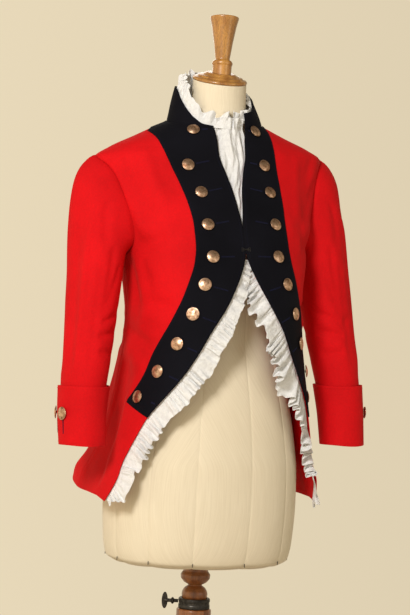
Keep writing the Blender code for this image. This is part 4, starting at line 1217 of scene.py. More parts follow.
@dataclass(frozen=True)
class Collar(Sewn):
    """Standing collar, one band round the neck.

    The stand gives the angle from the front, the height on the right and left, and the lean on both.
    """

    stand: Table = (
        (0.0, 0.004, 0.030, 0.05, 0.08), (26.0, 0.006, 0.032, 0.10, 0.16),
        (36.0, 0.015, 0.036, 0.20, 0.30), (46.0, 0.027, 0.041, 0.28, 0.41),
        (60.0, 0.042, 0.048, 0.30, 0.43), (80.0, 0.056, 0.053, 0.28, 0.32),
        (110.0, 0.060, 0.058, 0.15, 0.15), (180.0, 0.060, 0.060, -0.05, -0.05),
    )
    axis_y: float = 0.015
    rise: float = 0.0004
    rows: int = 16
    stations: int = 260
    cut: tuple[float, float, float] = (0.46, 0.064, 0.0205)

    def inward(self, points: np.ndarray) -> np.ndarray:
        """Level directions towards the middle of the neck."""
        level = np.stack((-points[..., 0], self.axis_y - points[..., 1], np.zeros(points.shape[:-1])), -1)
        return unit(level)

    def neckline(self) -> tuple[np.ndarray, np.ndarray]:
        """Signed degrees and points of the neckline.

        Returns:
            Degrees from 0 at the right front round the back to 360 at the left front, and points.
        """
        top = np.array([self.cutting.top])
        degrees, points = [], []
        for hand in Hand:
            facing = self.cutting.facing(hand, top)
            panel = self.cutting.panel(hand, top)
            back = self.cutting.back(top)
            angle = np.concatenate((facing[0][0], panel[0][0][1:-4], back[0][0][4:], [math.pi]))
            height = np.concatenate((facing[1][0], panel[1][0][1:-4], back[1][0][4:], [back[1][0][-1]]))
            spots = self.figure.points(angle, height) * np.array([hand.value, 1.0, 1.0])
            turn = np.degrees(angle)
            if hand is Hand.LEFT:
                turn, spots = (360.0 - turn)[::-1][1:], spots[::-1][1:]
            degrees.append(turn)
            points.append(spots)
        degrees, points = np.concatenate(degrees), np.concatenate(points)
        run = np.concatenate(([0.0], np.cumsum(np.linalg.norm(np.diff(points, axis=0), axis=1))))
        even = np.linspace(0, run[-1], self.stations + 1)
        spread = [np.interp(even, run, points[:, k]) for k in range(3)]
        return np.interp(even, run, degrees), np.stack(spread, -1)

    def standing(self, degrees: np.ndarray, column: int) -> np.ndarray:
        """One column of the stand, for signed degrees."""
        right = smooth(self.stand, column, np.minimum(degrees, 360 - degrees))
        left = smooth(self.stand, column + 1, np.minimum(degrees, 360 - degrees))
        return np.where(degrees < 180, right, left)

    def grid(self, rows: int) -> tuple[np.ndarray, np.ndarray]:
        """Rows of the collar's outer surface, from the neckline to its top edge, before the lean.

        Args:
            rows: Steps from the neckline to the top.

        Returns:
            Signed degrees of the columns, and the points.
        """
        degrees, base = self.neckline()
        stand, tilt = self.standing(degrees, 1), self.standing(degrees, 3)
        layers = []
        for share in np.linspace(0, 1, rows + 1):
            rise = stand * share
            bow = 0.0012 * math.sin(math.pi * share)
            point = base + self.inward(base) * (tilt * rise - bow)[:, None]
            point[:, 2] += rise + self.rise
            layers.append(point)
        return degrees, np.array(layers)

    def make(self) -> None:
        """Make the collar."""
        _, outer = self.grid(self.rows)
        thing = Bench.sheet("collar_cloth", self.figure.lean(outer)[:, ::-1])
        Bench.wall(thing, self.cloth, 0.0005)
        dress(thing, self.finishes.navy, ["collar"])


@dataclass(frozen=True)
class Sleeves(Sewn):
    """Sleeves with a rounded cap, and their turned-back cuffs.

    The sections give height, x, y, half width across, half depth.
    """

    sections: Table = (
        (0.803, 0.2607, -0.0595, 0.0378, 0.0423),
        (0.850, 0.2600, -0.0520, 0.0382, 0.0432),
        (0.899, 0.2565, -0.0420, 0.0395, 0.0450),
        (0.947, 0.2504, -0.0320, 0.0425, 0.0485),
        (0.996, 0.2434, -0.0200, 0.0445, 0.0520),
        (1.028, 0.2395, -0.0130, 0.0455, 0.0545),
        (1.061, 0.2356, -0.0060, 0.0470, 0.0570),
        (1.100, 0.2305, 0.0010, 0.0490, 0.0600),
    )
    cuff_sections: Table = (
        (0.798, 0.2607, -0.0600, 0.0405, 0.0450),
        (0.850, 0.2600, -0.0520, 0.0425, 0.0475),
        (0.905, 0.2560, -0.0415, 0.0455, 0.0510),
    )
    columns: int = 96
    tube_rows: int = 72
    cap_rows: int = 26
    cuff_rows: int = 26
    cap_reach: float = 0.84
    cap_drop: float = -0.26
    cap_spread: float = 0.30
    armhole_gap: float = 0.0006
    metre_a_degree: float = 0.00090
    crease_share: float = 1.4
    # the sleeve's edge is turned under the fronts and backs: depth below them, width
    allowance_depth: float = 0.0036
    allowance: float = 0.0060
    sleeve_cut: tuple[float, float, float] = (0.34, 0.50, 0.140)
    cuff_cut: tuple[float, float] = (0.29, 0.108)
    # turn from the outside towards the front and height of each end, width, depth
    creases: Table = (
        (42.0, 1.210, 40.0, 0.930, 0.0065, -0.0026), (18.0, 1.180, 20.0, 0.930, 0.0120, 0.0034),
        (76.0, 1.120, 72.0, 0.940, 0.0110, 0.0020), (98.0, 1.150, 92.0, 1.040, 0.0090, 0.0026),
        (118.0, 1.120, 104.0, 1.060, 0.0070, 0.0022), (96.0, 1.022, 150.0, 1.040, 0.0060, 0.0030),
        (92.0, 0.996, 148.0, 1.004, 0.0065, 0.0034), (98.0, 0.968, 144.0, 0.962, 0.0060, 0.0026),
        (60.0, 1.030, 96.0, 1.010, 0.0080, 0.0014), (-40.0, 1.190, -34.0, 0.940, 0.0110, 0.0030),
        (-70.0, 1.160, -62.0, 0.930, 0.0080, -0.0024), (-96.0, 1.100, -84.0, 0.960, 0.0120, 0.0026),
        (-120.0, 1.060, -150.0, 1.030, 0.0070, 0.0020), (-118.0, 1.015, -152.0, 1.000, 0.0070, 0.0022),
        (8.0, 1.262, 30.0, 1.205, 0.0100, 0.0018), (62.0, 1.235, 78.0, 1.170, 0.0090, 0.0022),
    )

    def tube(self, table: Table, height: np.ndarray, swell: float = 0.0) -> np.ndarray:
        """Closed level rings of a sleeve or cuff: outside, front, inside, back.

        Args:
            table: Its sections.
            height: Height of each ring.
            swell: How much wider than its sections it is.

        Returns:
            The rings, whose last point is the first one.
        """
        turn = np.linspace(0, 2 * math.pi, self.columns + 1)
        x, y, across, deep = (smooth(table, k, height)[:, None] for k in range(1, 5))
        ring_x = x + (across + swell) * np.cos(turn)
        ring_y = y - (deep + swell) * np.sin(turn)
        return np.stack((ring_x, ring_y, np.broadcast_to(height[:, None], ring_x.shape)), -1)

    def armhole(self) -> tuple[np.ndarray, np.ndarray, np.ndarray]:
        """The armhole's line on the +X half, from the shoulder tip down its front and up its back.

        Returns:
            The points, the body's normals there, and the points' middle.
        """
        points, normals = [], []
        for share in np.linspace(0, 1, self.columns + 1):
            down = 2 * share if share <= 0.5 else 2 - 2 * share
            row = self.cutting.tip - (self.cutting.tip - self.cutting.underarm) * down
            height = self.cutting.heights(row)[1]
            angle = math.radians(float(smooth(self.cutting.armhole, 1 if share <= 0.5 else 2, height)))
            points.append(self.figure.points(angle, height))
            normals.append(self.figure.normals(angle, height))
        loop = np.array(points)
        centre = loop[:-1].mean(axis=0)
        return loop + self.armhole_gap * unit(centre - loop), np.array(normals), centre

    def make_sleeve(self, hand: Hand) -> None:
        """Sleeve, from the armhole to inside the cuff."""
        loop, normals, centre = self.armhole()
        height = np.linspace(self.sections[0][0], self.sections[-1][0], self.tube_rows + 1)
        tube = self.tube(self.sections, height)
        reach = np.linalg.norm(tube[-1] - loop, axis=1)
        spread = self.cap_spread * (loop[:, 1] - centre[1]) / self.sections[-1][4]
        start = np.stack((np.ones(len(loop)), spread, np.full(len(loop), self.cap_drop)), -1)
        start = unit(start) * (self.cap_reach * reach)[:, None]
        end = unit(tube[-2] - tube[-1]) * reach[:, None]
        cap = []
        for t in np.linspace(1, 0, self.cap_rows + 1)[1:]:
            part = (2 * t**3 - 3 * t**2 + 1) * loop + (t**3 - 2 * t**2 + t) * start
            cap.append(part + (3 * t**2 - 2 * t**3) * tube[-1] + (t**3 - t**2) * end)
        points = np.concatenate((tube, np.array(cap)))
        turn = np.broadcast_to(np.linspace(0, 2 * math.pi, self.columns + 1), points.shape[:2])
        signed = np.where(turn > math.pi, turn - 2 * math.pi, turn)
        rise = points[..., 2]
        lift = creased(signed + math.radians(3.0 * hand.value), rise, self.creases, self.metre_a_degree)
        lift *= self.crease_share
        lift += 0.0007 * np.sin(3 * turn + 9 * rise) * np.sin(31 * rise + 2 * np.cos(turn) + hand.value)
        lift += 0.0005 * np.sin(5 * turn - 23 * rise + 2 * hand.value)
        along = np.cumsum(np.linalg.norm(np.diff(points, axis=0), axis=-1), axis=0)
        to_armhole = along[-1:] - np.concatenate((np.zeros((1, points.shape[1])), along))
        lift *= ease((rise - 0.915) / 0.045) * ease(to_armhole / 0.022)
        head = 0.0005 * np.exp(-(((to_armhole - 0.010) / 0.007) ** 2)) * np.clip(np.cos(turn) + 0.4, 0, 1)
        lift += head - 0.0007 * np.exp(-((to_armhole / 0.0025) ** 2))
        lift = np.where(np.cos(turn) < -0.5, np.minimum(lift, 0.0004), lift)
        points = points - lift[..., None] * grid_normals(points, closed=True)
        away = loop - centre
        away = unit(away - (away * normals).sum(axis=1, keepdims=True) * normals)
        inside = loop - self.allowance_depth * normals
        turned = [inside + share * self.allowance * away for share in (0.0, 0.15, 0.6, 1.0)]
        points = np.concatenate((points, np.array(turned)))
        grid = self.figure.place(points, hand)
        grid = grid if hand is Hand.RIGHT else grid[:, ::-1]
        thing = Bench.sheet(f"sleeve_{hand.word}_cloth", grid, closed=True)
        Bench.wall(thing, self.cloth, 0.0004)
        dress(thing, self.finishes.scarlet, [f"sleeve_{hand.word}"])

    def cuff_rings(self, height: np.ndarray) -> np.ndarray:
        """Rings of the cuff's outer surface, softly uneven."""
        rings = self.tube(self.cuff_sections, height)
        turn = np.linspace(0, 2 * math.pi, self.columns + 1)
        uneven = 0.0005 * np.sin(3 * turn + 40 * height[:, None]) + 0.0004 * np.sin(5 * turn + 1.3)
        return rings - uneven[..., None] * grid_normals(rings, closed=True)

    def make_cuff(self, hand: Hand) -> None:
        """Turned-back cuff, open at its top."""
        low, high = self.cuff_sections[0][0], self.cuff_sections[-1][0]
        grid = self.cuff_rings(np.linspace(low, high, self.cuff_rows + 1))
        turn = np.linspace(0, 2 * math.pi, self.columns + 1)
        share = np.linspace(0, 1, self.cuff_rows + 1)[:, None]
        grid[..., 2] += (0.0010 * np.sin(2 * turn + 0.6) * share**3
                         + 0.0006 * np.sin(3 * turn) * (1 - share) ** 3)
        grid = self.figure.place(grid, hand)
        grid = grid if hand is Hand.RIGHT else grid[:, ::-1]
        thing = Bench.sheet(f"cuff_{hand.word}_cloth", grid, closed=True)
        Bench.wall(thing, self.cloth, 0.0006)
        dress(thing, self.finishes.scarlet, [f"cuff_{hand.word}"])

    def make(self) -> None:
        """Make both sleeves and cuffs."""
        for hand in Hand:
            self.make_sleeve(hand)
            self.make_cuff(hand)


@dataclass(frozen=True)
class Frills(Sewn):
    """White cotton: the frills under the fronts' edges, the neck frill and the gathered neckcloth."""

    top: float = 1.137
    tuck: float = 0.006
    width: float = 0.036
    top_width: float = 0.015
    top_depth: float = 0.006
    waves: int = 26
    steps_a_wave: int = 18
    rows: int = 12
    depth: float = 0.0041
    wave: float = 0.0052
    loose: float = 1.5
    gather: float = 0.0011
    front_cut: tuple[float, float, float] = (0.95, 0.045, 0.030)
    neck_waves: int = 25
    neck_rows: int = 18
    neck_start: float = 2.0
    neck_wave: float = 0.0046
    # where the neck frill's foot and the collar's top would meet in the front middle: y, heights
    neck_front: tuple[float, float, float] = (-0.0640, 1.372, 1.384)
    # angle from the front, height of the free edge on the right and left, how far inside the collar
    neck_edge: Table = (
        (0.0, 1.404, 1.404, 0.0), (12.0, 1.400, 1.405, 0.0), (27.0, 1.408, 1.408, 0.0),
        (40.0, 1.428, 1.420, 0.0005), (60.0, 1.454, 1.436, 0.0030), (90.0, 1.474, 1.456, 0.0050),
        (130.0, 1.484, 1.478, 0.0060), (180.0, 1.490, 1.490, 0.0060),
    )
    neck_cut: tuple[float, float, float] = (0.80, 0.055, 0.030)
    # height, half width past the front's edge, depth under the cloth, how far the middle swells out
    jabot_rows: Table = (
        (1.148, 0.012, 0.0040, 0.000), (1.172, 0.012, 0.0040, 0.000), (1.200, 0.012, 0.0040, 0.001),
        (1.232, 0.012, 0.0040, 0.002), (1.265, 0.012, 0.0040, 0.003), (1.300, 0.012, 0.0042, 0.005),
        (1.332, 0.009, 0.0042, 0.010), (1.356, 0.004, 0.0044, 0.013), (1.378, -0.003, 0.0040, 0.014),
        (1.394, -0.004, 0.0000, 0.013),
    )
    jabot_cut: tuple[float, float, float] = (0.14, 0.27, 0.021)

    def make_front_frill(self, hand: Hand) -> None:
        """Gathered frill, caught under the front's edge from the hook down to the tail's tip."""
        count = self.waves * self.steps_a_wave
        figure = self.figure
        heights = np.linspace(figure.front_edge[0][0] + 0.002, self.top, 200)
        line = figure.points(figure.edge_angle(heights), heights)
        run = np.concatenate(([0.0], np.cumsum(np.linalg.norm(np.diff(line, axis=0), axis=1))))
        height = np.interp(np.linspace(0, run[-1], count + 1), run, heights)
        angle = figure.edge_angle(height)
        edge, normal = figure.points(angle, height), figure.normals(angle, height)
        along = unit(np.gradient(edge, axis=0))
        outward = unit(np.cross(normal, along))
        share = np.linspace(0, 1, count + 1)
        loose = self.loose if hand is Hand.LEFT else 1.0
        full = self.width * (0.65 + 0.35 * loose)
        width = self.top_width + (full - self.top_width) * np.clip((1 - share) / 0.30, 0, 1) ** 0.7
        width *= np.clip(share / 0.06, 0.35, 1)
        wander = 0.05 * np.sin(2 * math.pi * 7.3 * share + hand.value)
        ragged = 0.05 * np.sin(2 * math.pi * 19.1 * share) + 0.03 * np.sin(2 * math.pi * 43.0 * share + 2.0)
        width *= 1 + loose * wander + (1.4 if hand is Hand.LEFT else 0.35) * ragged
        depth = self.depth + (self.top_depth if hand is Hand.LEFT else 0.0) * ease((share - 0.80) / 0.14)
        seed = 1.1 * hand.value
        phase = 2 * math.pi * (self.waves * share + 0.62 * np.sin(2 * math.pi * 4.3 * share + seed)
                               + 0.24 * np.sin(2 * math.pi * 9.7 * share + 2 * seed))
        size = (self.wave * loose * (1 + 0.50 * np.sin(2 * math.pi * 3.1 * share + 3 * seed))
                * (width / self.width))
        rows = []
        for part in np.linspace(0, 1, self.rows + 1):
            across = -self.tuck + part * (self.tuck + width)
            free = float(ease(part)) ** 0.8
            twist = phase + 1.1 * part * np.sin(2 * math.pi * 5.7 * share + seed)
            fold = size * free * (1 + np.sin(twist) + 0.30 * np.sin(2 * twist + seed))
            pucker = self.gather * (1 - part) * part * 4 * np.sin(3.2 * phase + 2 * seed)
            slant = -0.16 * part * width - 0.0014 * loose * free * np.sin(2 * twist)
            push = depth + fold * 0.80 + pucker
            rows.append(edge + outward * across[:, None] - normal * push[:, None] + along * slant[:, None])
        grid = np.array(rows)
        grid = self.figure.place(grid, hand)
        grid = grid[:, ::-1] if hand is Hand.RIGHT else grid
        thing = Bench.sheet(f"frill_{hand.word}_cotton", grid)
        Bench.wall(thing, self.cotton)
        dress(thing, self.finishes.muslin, [f"frill_{hand.word}"], 70.0)

    def make_neck_frill(self, collar: Collar) -> None:
        """Gathered frill, caught inside the collar and standing above it.

        Args:
            collar: The collar that it stands in.
        """
        degrees, grid = collar.grid(8)
        count = self.neck_waves * self.steps_a_wave
        at = np.linspace(self.neck_start, 360 - self.neck_start, count + 1)
        y, low, high = self.neck_front
        degrees = np.concatenate(([0.0], degrees, [360.0]))
        bridged = []
        for row, height in ((grid[3], low), (grid[-1], high)):
            middle = np.array([[0.0, y, height]])
            line = np.concatenate((middle, row, middle))
            bridged.append(np.stack([np.interp(at, degrees, line[:, k]) for k in range(3)], -1))
        foot, edge = bridged
        near = np.minimum(at, 360 - at)
        free = np.where(at < 180, smooth(self.neck_edge, 1, near), smooth(self.neck_edge, 2, near))
        rise = np.maximum(free - edge[:, 2], 0.006)
        share = np.linspace(0, 1, count + 1)
        ragged = 0.15 * np.sin(2 * math.pi * 8.3 * share) + 0.10 * np.sin(2 * math.pi * 21.0 * share + 1)
        rise = rise * (1 + ragged + 0.05 * np.sin(2 * math.pi * 47.0 * share))
        inset = smooth(self.neck_edge, 3, near)
        inward, up = collar.inward(edge), np.array([0.0, 0.0, 1.0])
        side = np.cross(up, inward)
        phase = 2 * math.pi * (self.neck_waves * share + 0.33 * np.sin(2 * math.pi * 5.1 * share)
                               + 0.22 * np.sin(2 * math.pi * 11.3 * share + 1.0))
        size = self.neck_wave * (1 + 0.4 * np.sin(2 * math.pi * 4.7 * share + 0.4))
        caught = self.cloth + 0.0016
        rows = []
        for part in np.linspace(0, 1, self.neck_rows + 1):
            below = float(np.clip(part / 0.42, 0, 1))
            above = float(np.clip((part - 0.42) / 0.58, 0, 1))
            base = foot + (edge - foot) * below
            twist = phase + (0.9 + 1.2 * np.sin(2 * math.pi * 6.1 * share)) * above
            wave = (size * (0.08 + 0.92 * float(ease(above)))
                    * (np.sin(twist) + 0.22 * np.sin(2.3 * twist + 1)))
            sway = -0.0013 * above * np.sin(2 * twist)
            push = caught + 0.0003 + inset * above + wave + size * 0.3 * above + 0.0030 * above**2
            point = base + push[:, None] * inward + (rise * above)[:, None] * up + sway[:, None] * side
            rows.append(point)
        outer = self.figure.lean(np.array(rows))
        thing = Bench.sheet("neck_frill_cotton", outer[:, ::-1])
        Bench.wall(thing, self.cotton)
        dress(thing, self.finishes.muslin, ["neck_frill"], 70.0)

    def make_jabot(self) -> None:
        """Gathered neckcloth that fills the opening between the fronts, above the hook."""
        figure = self.figure
        top = figure.front_edge[-1][0] - 0.002
        rows = []
        u = np.linspace(-1, 1, 121)
        for height in np.linspace(self.jabot_rows[0][0], self.jabot_rows[-1][0], 131):
            level = min(height, top)
            tuck, deep, swell = (float(smooth(self.jabot_rows, k, height)) for k in (1, 2, 3))
            half = float(smooth(figure.front_edge, 1, level)) + tuck
            angle = figure.angle_at(np.abs(u) * half, level)
            point, normal = figure.points(angle, level), figure.normals(angle, level)
            rise = (height - self.jabot_rows[0][0]) / (self.jabot_rows[-1][0] - self.jabot_rows[0][0])
            wide = max(half, 0.020) / 0.040
            bend = wide * u + 0.20 * math.sin(6.5 * rise + 0.5) * (1 - u * u) + 0.07 * math.sin(17 * rise)
            fold = 0.0026 * (1 + np.cos(3.1 * math.pi * bend + 5.0 * rise + 0.6))
            fold += 0.0013 * (1 + np.cos(6.3 * math.pi * bend - 17 * rise + 1.1))
            fold += 0.0012 * (1 + np.sin(15 * rise + 5 * bend) * np.sin(33 * rise - 4 * bend + 0.7))
            fold += 0.0006 * (1 + np.sin(44 * rise + 9 * bend) * np.cos(27 * bend - 12 * rise))
            fold *= (1 - 0.85 * u * u) * (0.35 + 0.65 * min(1.0, rise / 0.25))
            sink = deep + fold - swell * np.maximum(0.0, 1 - (u / 0.75) ** 2)
            point = point - sink[:, None] * normal
            rows.append(np.stack((np.copysign(point[:, 0], u), point[:, 1], np.full(len(u), height)), -1))
        outer = figure.lean(np.array(rows))
        thing = Bench.sheet("jabot_cotton", outer)
        Bench.wall(thing, self.cotton)
        dress(thing, self.finishes.muslin, ["jabot"], 70.0)

    def make(self, collar: Collar) -> None:
        """Make every cotton piece."""
        for hand in Hand:
            self.make_front_frill(hand)
        self.make_neck_frill(collar)
        self.make_jabot()


@dataclass(frozen=True)
class Fastenings(Sewn):
    """Buttons, buttonholes, the hook and eye, and the rows of hand stitches."""

    # height, mean distance from the middle, how much further out on the right, buttonhole's slant
    front: Table = (
        (1.370, 0.0600, 0.008, 0.10), (1.305, 0.0750, 0.012, 0.20), (1.254, 0.0680, 0.002, 0.20),
        (1.195, 0.0665, 0.000, 0.16), (1.137, 0.0640, 0.000, 0.02), (1.088, 0.0800, 0.000, -0.28),
        (1.036, 0.0990, 0.000, -0.42), (0.983, 0.1195, 0.000, -0.52), (0.933, 0.1440, 0.000, -0.60),
        (0.886, 0.1660, 0.000, -0.66),
    )
    cuff_angles: tuple[float, float] = (18.0, -25.0)
    cuff_height: float = 0.856
    # half outline of the button: radius, height
    outline: Table = (
        (0.0, 0.0), (0.0026, 0.0), (0.0026, 0.0011), (0.0098, 0.0014), (0.0112, 0.0019), (0.0115, 0.0025),
        (0.0111, 0.0030), (0.0102, 0.0030), (0.0096, 0.0033), (0.0088, 0.0037), (0.0080, 0.0040),
        (0.0076, 0.0039), (0.0058, 0.0046), (0.0030, 0.0050), (0.0, 0.0051),
    )
    lift: float = 0.0004
    hole_start: float = 0.0145
    hole_length: float = 0.0270
    stitch_pitch: float = 0.00105

    def button(self) -> Piece:
        """One turned button about its own Z."""
        return Bench.spin("button", Bench.rounded(self.outline, 0.0006, 2), 40)

    def stand_on(self, point: np.ndarray, normal: np.ndarray, along: np.ndarray | None = None) -> Matrix:
        """Place on a surface.

        Args:
            point: The spot.
            normal: Becomes Z.
            along: Becomes X, as far as it lies in the surface.

        Returns:
            The matrix.
        """
        z = Vector(normal).normalized()
        if along is None:
            turn = z.to_track_quat("Z", "Y").to_matrix()
        else:
            x = (Vector(along) - z * Vector(along).dot(z)).normalized()
            turn = Matrix((x, z.cross(x), z)).transposed()
        return Matrix.Translation(Vector(point)) @ turn.to_4x4()

    def on_front(self, hand: Hand, x: float, height: float, lift: float) -> tuple[np.ndarray, np.ndarray]:
        """Point and normal on the facing."""
        angle = float(self.figure.angle_at(max(x, 0.0), height))
        normal = self.figure.normals(angle, height)
        point = self.figure.points(angle, height) + lift * normal
        return self.figure.place(point, hand), normal * np.array([hand.value, 1.0, 1.0])

    def on_cuff(self, hand: Hand, degrees: float, height: float,
                lift: float) -> tuple[np.ndarray, np.ndarray]:
        """Point and normal on the cuff."""
        table = Sleeves.cuff_sections
        x, y, across, deep = (float(smooth(table, k, height)) for k in range(1, 5))
        turn = math.radians(degrees)
        normal = unit(np.array([math.cos(turn) / across, -math.sin(turn) / deep, 0.0]))
        point = np.array([x + across * math.cos(turn), y - deep * math.sin(turn), height]) + lift * normal
        return self.figure.place(point, hand), normal * np.array([hand.value, 1.0, 1.0])

    def make_buttons(self) -> None:
        """Ten buttons down each facing and two on each cuff."""
        pattern = self.button()
        for hand in Hand:
            spots = []
            for number, (height, mean, skew, _) in enumerate(self.front, 1):
                spot = self.on_front(hand, mean - hand.value * skew, height, self.facing_lift + self.lift)
                spots.append((f"button_{hand.word}_{number:02d}", spot))
            for number, degrees in enumerate(self.cuff_angles, 1):
                spot = self.on_cuff(hand, degrees, self.cuff_height, self.lift)
                spots.append((f"cuff_button_{hand.word}_{number}", spot))
            for node, (point, normal) in spots:
                thing = Bench.move(Bench.copy(pattern, node + "_metal"), self.stand_on(point, normal))
                dress(thing, self.finishes.brass, [node], 38.0)
        bpy.data.objects.remove(pattern)

    def stitch(self, length: float, width: float, height: float) -> Piece:
        """One small stitch, a flattened thread along X."""
        Bench.clear()
        bpy.ops.mesh.primitive_uv_sphere_add(segments=8, ring_count=5, radius=0.5)
        thing = bpy.context.object
        thing.data.transform(Matrix.Diagonal((length, width, height, 1.0)))
        return thing

    def bar(self, points: Sequence[np.ndarray], normals: Sequence[np.ndarray]) -> list[Matrix]:
        """Stitches across a slit, on both of its sides.

        Args:
            points: Points along the slit.
            normals: The surface's normals there.

        Returns:
            A place for each stitch, whose X crosses the slit.
        """
        places = []
        for before, point, after, normal in zip(points, points[1:], points[2:], normals[1:]):
            across = np.cross(normal, after - before)
            across = across / np.linalg.norm(across)
            for side in (-1, 1):
                places.append(self.stand_on(point + side * 0.00075 * across, normal, across))
        return places

    def make_buttonholes(self) -> None:
        """A buttonhole beside each front button, and one below each cuff button."""
        count = int(self.hole_length / self.stitch_pitch)
        for hand in Hand:
            places = []
            for height, mean, skew, slant in self.front:
                x = mean - hand.value * skew
                span = 1 / math.hypot(1.0, slant)
                edge_reach = (x - float(smooth(self.figure.front_edge, 1, height))) / span - 0.026
                reach = min(self.hole_length, edge_reach)
                spots = [self.on_front(hand, x - d * span, height + d * span * slant, self.facing_lift)
                         for d in self.hole_start + np.linspace(0, reach, count)]
                places += self.bar([spot[0] for spot in spots], [spot[1] for spot in spots])
            thing = Bench.repeat(self.stitch(0.0015, 0.0011, 0.0009), places, f"buttonholes_{hand.word}")
            dress(thing, self.finishes.blue_silk)
            places = []
            for degrees in self.cuff_angles:
                spots = [self.on_cuff(hand, degrees, self.cuff_height - 0.011 - d, 0.0003)
                         for d in np.linspace(0, self.hole_length, count)]
                places += self.bar([spot[0] for spot in spots], [spot[1] for spot in spots])
            thing = Bench.repeat(self.stitch(0.0015, 0.0011, 0.0010), places, f"cuff_buttonholes_{hand.word}")
            dress(thing, self.finishes.blue_silk)

    def row_of_stitches(self, points: np.ndarray, normals: np.ndarray, pitch: float) -> list[Matrix]:
        """Running stitches along a line.

        Args:
            points: Points along it.
            normals: The surface's normals there.
            pitch: Distance from one stitch to the next.

        Returns:
            A place for each stitch, whose X runs along the line.
        """
        run = np.concatenate(([0.0], np.cumsum(np.linalg.norm(np.diff(points, axis=0), axis=1))))
        marks = np.arange(pitch, run[-1] - pitch, pitch)
        spots = np.stack([np.interp(marks, run, points[:, k]) for k in range(3)], -1)
        ups = unit(np.stack([np.interp(marks, run, normals[:, k]) for k in range(3)], -1))
        ways = np.gradient(spots, axis=0)
        return [self.stand_on(spot, up, way) for spot, up, way in zip(spots, ups, ways)]

    def make_edge_stitches(self, collar: Collar) -> None:
        """Rows of small stitches along the facings, the collar's top and the cuffs' tops.

        Args:
            collar: The collar.
        """
        navy = []
        for hand in Hand:
            rows = self.cutting.rows(self.cutting.foot + 0.2, self.cutting.top - 0.4)
            angle, height = self.cutting.facing(hand, rows)
            flip = np.array([hand.value, 1.0, 1.0])
            for column in (1, -2):
                normal = self.figure.normals(angle[:, column], height[:, column])
                line = self.figure.points(angle[:, column], height[:, column]) + self.facing_lift * normal
                navy += self.row_of_stitches(self.figure.place(line, hand), normal * flip, 0.0042)
            cuff = []
            turns = np.linspace(0, 360, 140)
            for level in (self.cuff_height + 0.0440, self.cuff_height - 0.0530):
                spots = [self.on_cuff(hand, degrees, level, 0.0004) for degrees in turns]
                points, normals = (np.array([spot[k] for spot in spots]) for k in (0, 1))
                cuff += self.row_of_stitches(points, normals, 0.0042)
            thing = Bench.repeat(self.stitch(0.0026, 0.0005, 0.0005), cuff, f"cuff_stitches_{hand.word}")
            dress(thing, self.finishes.red_silk)
        _, grid = collar.grid(16)
        top = self.figure.lean(grid)[-2]
        outward = unit(collar.inward(top) * -1)
        navy += self.row_of_stitches(top + 0.0001 * outward, outward, 0.0042)
        thing = Bench.repeat(self.stitch(0.0026, 0.0005, 0.0005), navy, "facing_stitches")
        dress(thing, self.finishes.blue_silk)

    def make_hook(self) -> None:
        """Hook and eye where the fronts meet."""
        height = 1.150
        parts = []
        for hand in Hand:
            for x, radius in ((0.0066, 0.0017), (0.0030, 0.0019)):
                for level in ((-0.0020, 0.0020) if x > 0.004 else (0.0,)):
                    point, normal = self.on_front(hand, x, height + level, self.facing_lift + 0.0005)
                    Bench.clear()
                    bpy.ops.mesh.primitive_torus_add(
                        major_radius=radius, minor_radius=0.00045, major_segments=20, minor_segments=8)
                    parts.append(Bench.move(bpy.context.object, self.stand_on(point, normal)))
        left, normal = self.on_front(Hand.LEFT, 0.0036, height, self.facing_lift + 0.0012)
        right, _ = self.on_front(Hand.RIGHT, 0.0036, height, self.facing_lift + 0.0012)
        Bench.clear()
        bpy.ops.mesh.primitive_cylinder_add(
            vertices=10, radius=0.0006, depth=float(np.linalg.norm(right - left)))
        turn = Vector(right - left).to_track_quat("Z", "Y").to_matrix().to_4x4()
        parts.append(Bench.move(bpy.context.object, Matrix.Translation(Vector((left + right) / 2)) @ turn))
        thing = Bench.join(parts, "hook_and_eye")
        dress(thing, self.finishes.iron)

    def make(self, collar: Collar) -> None:
        """Make every fastening."""
        self.make_buttons()
        self.make_buttonholes()
        self.make_edge_stitches(collar)
        self.make_hook()


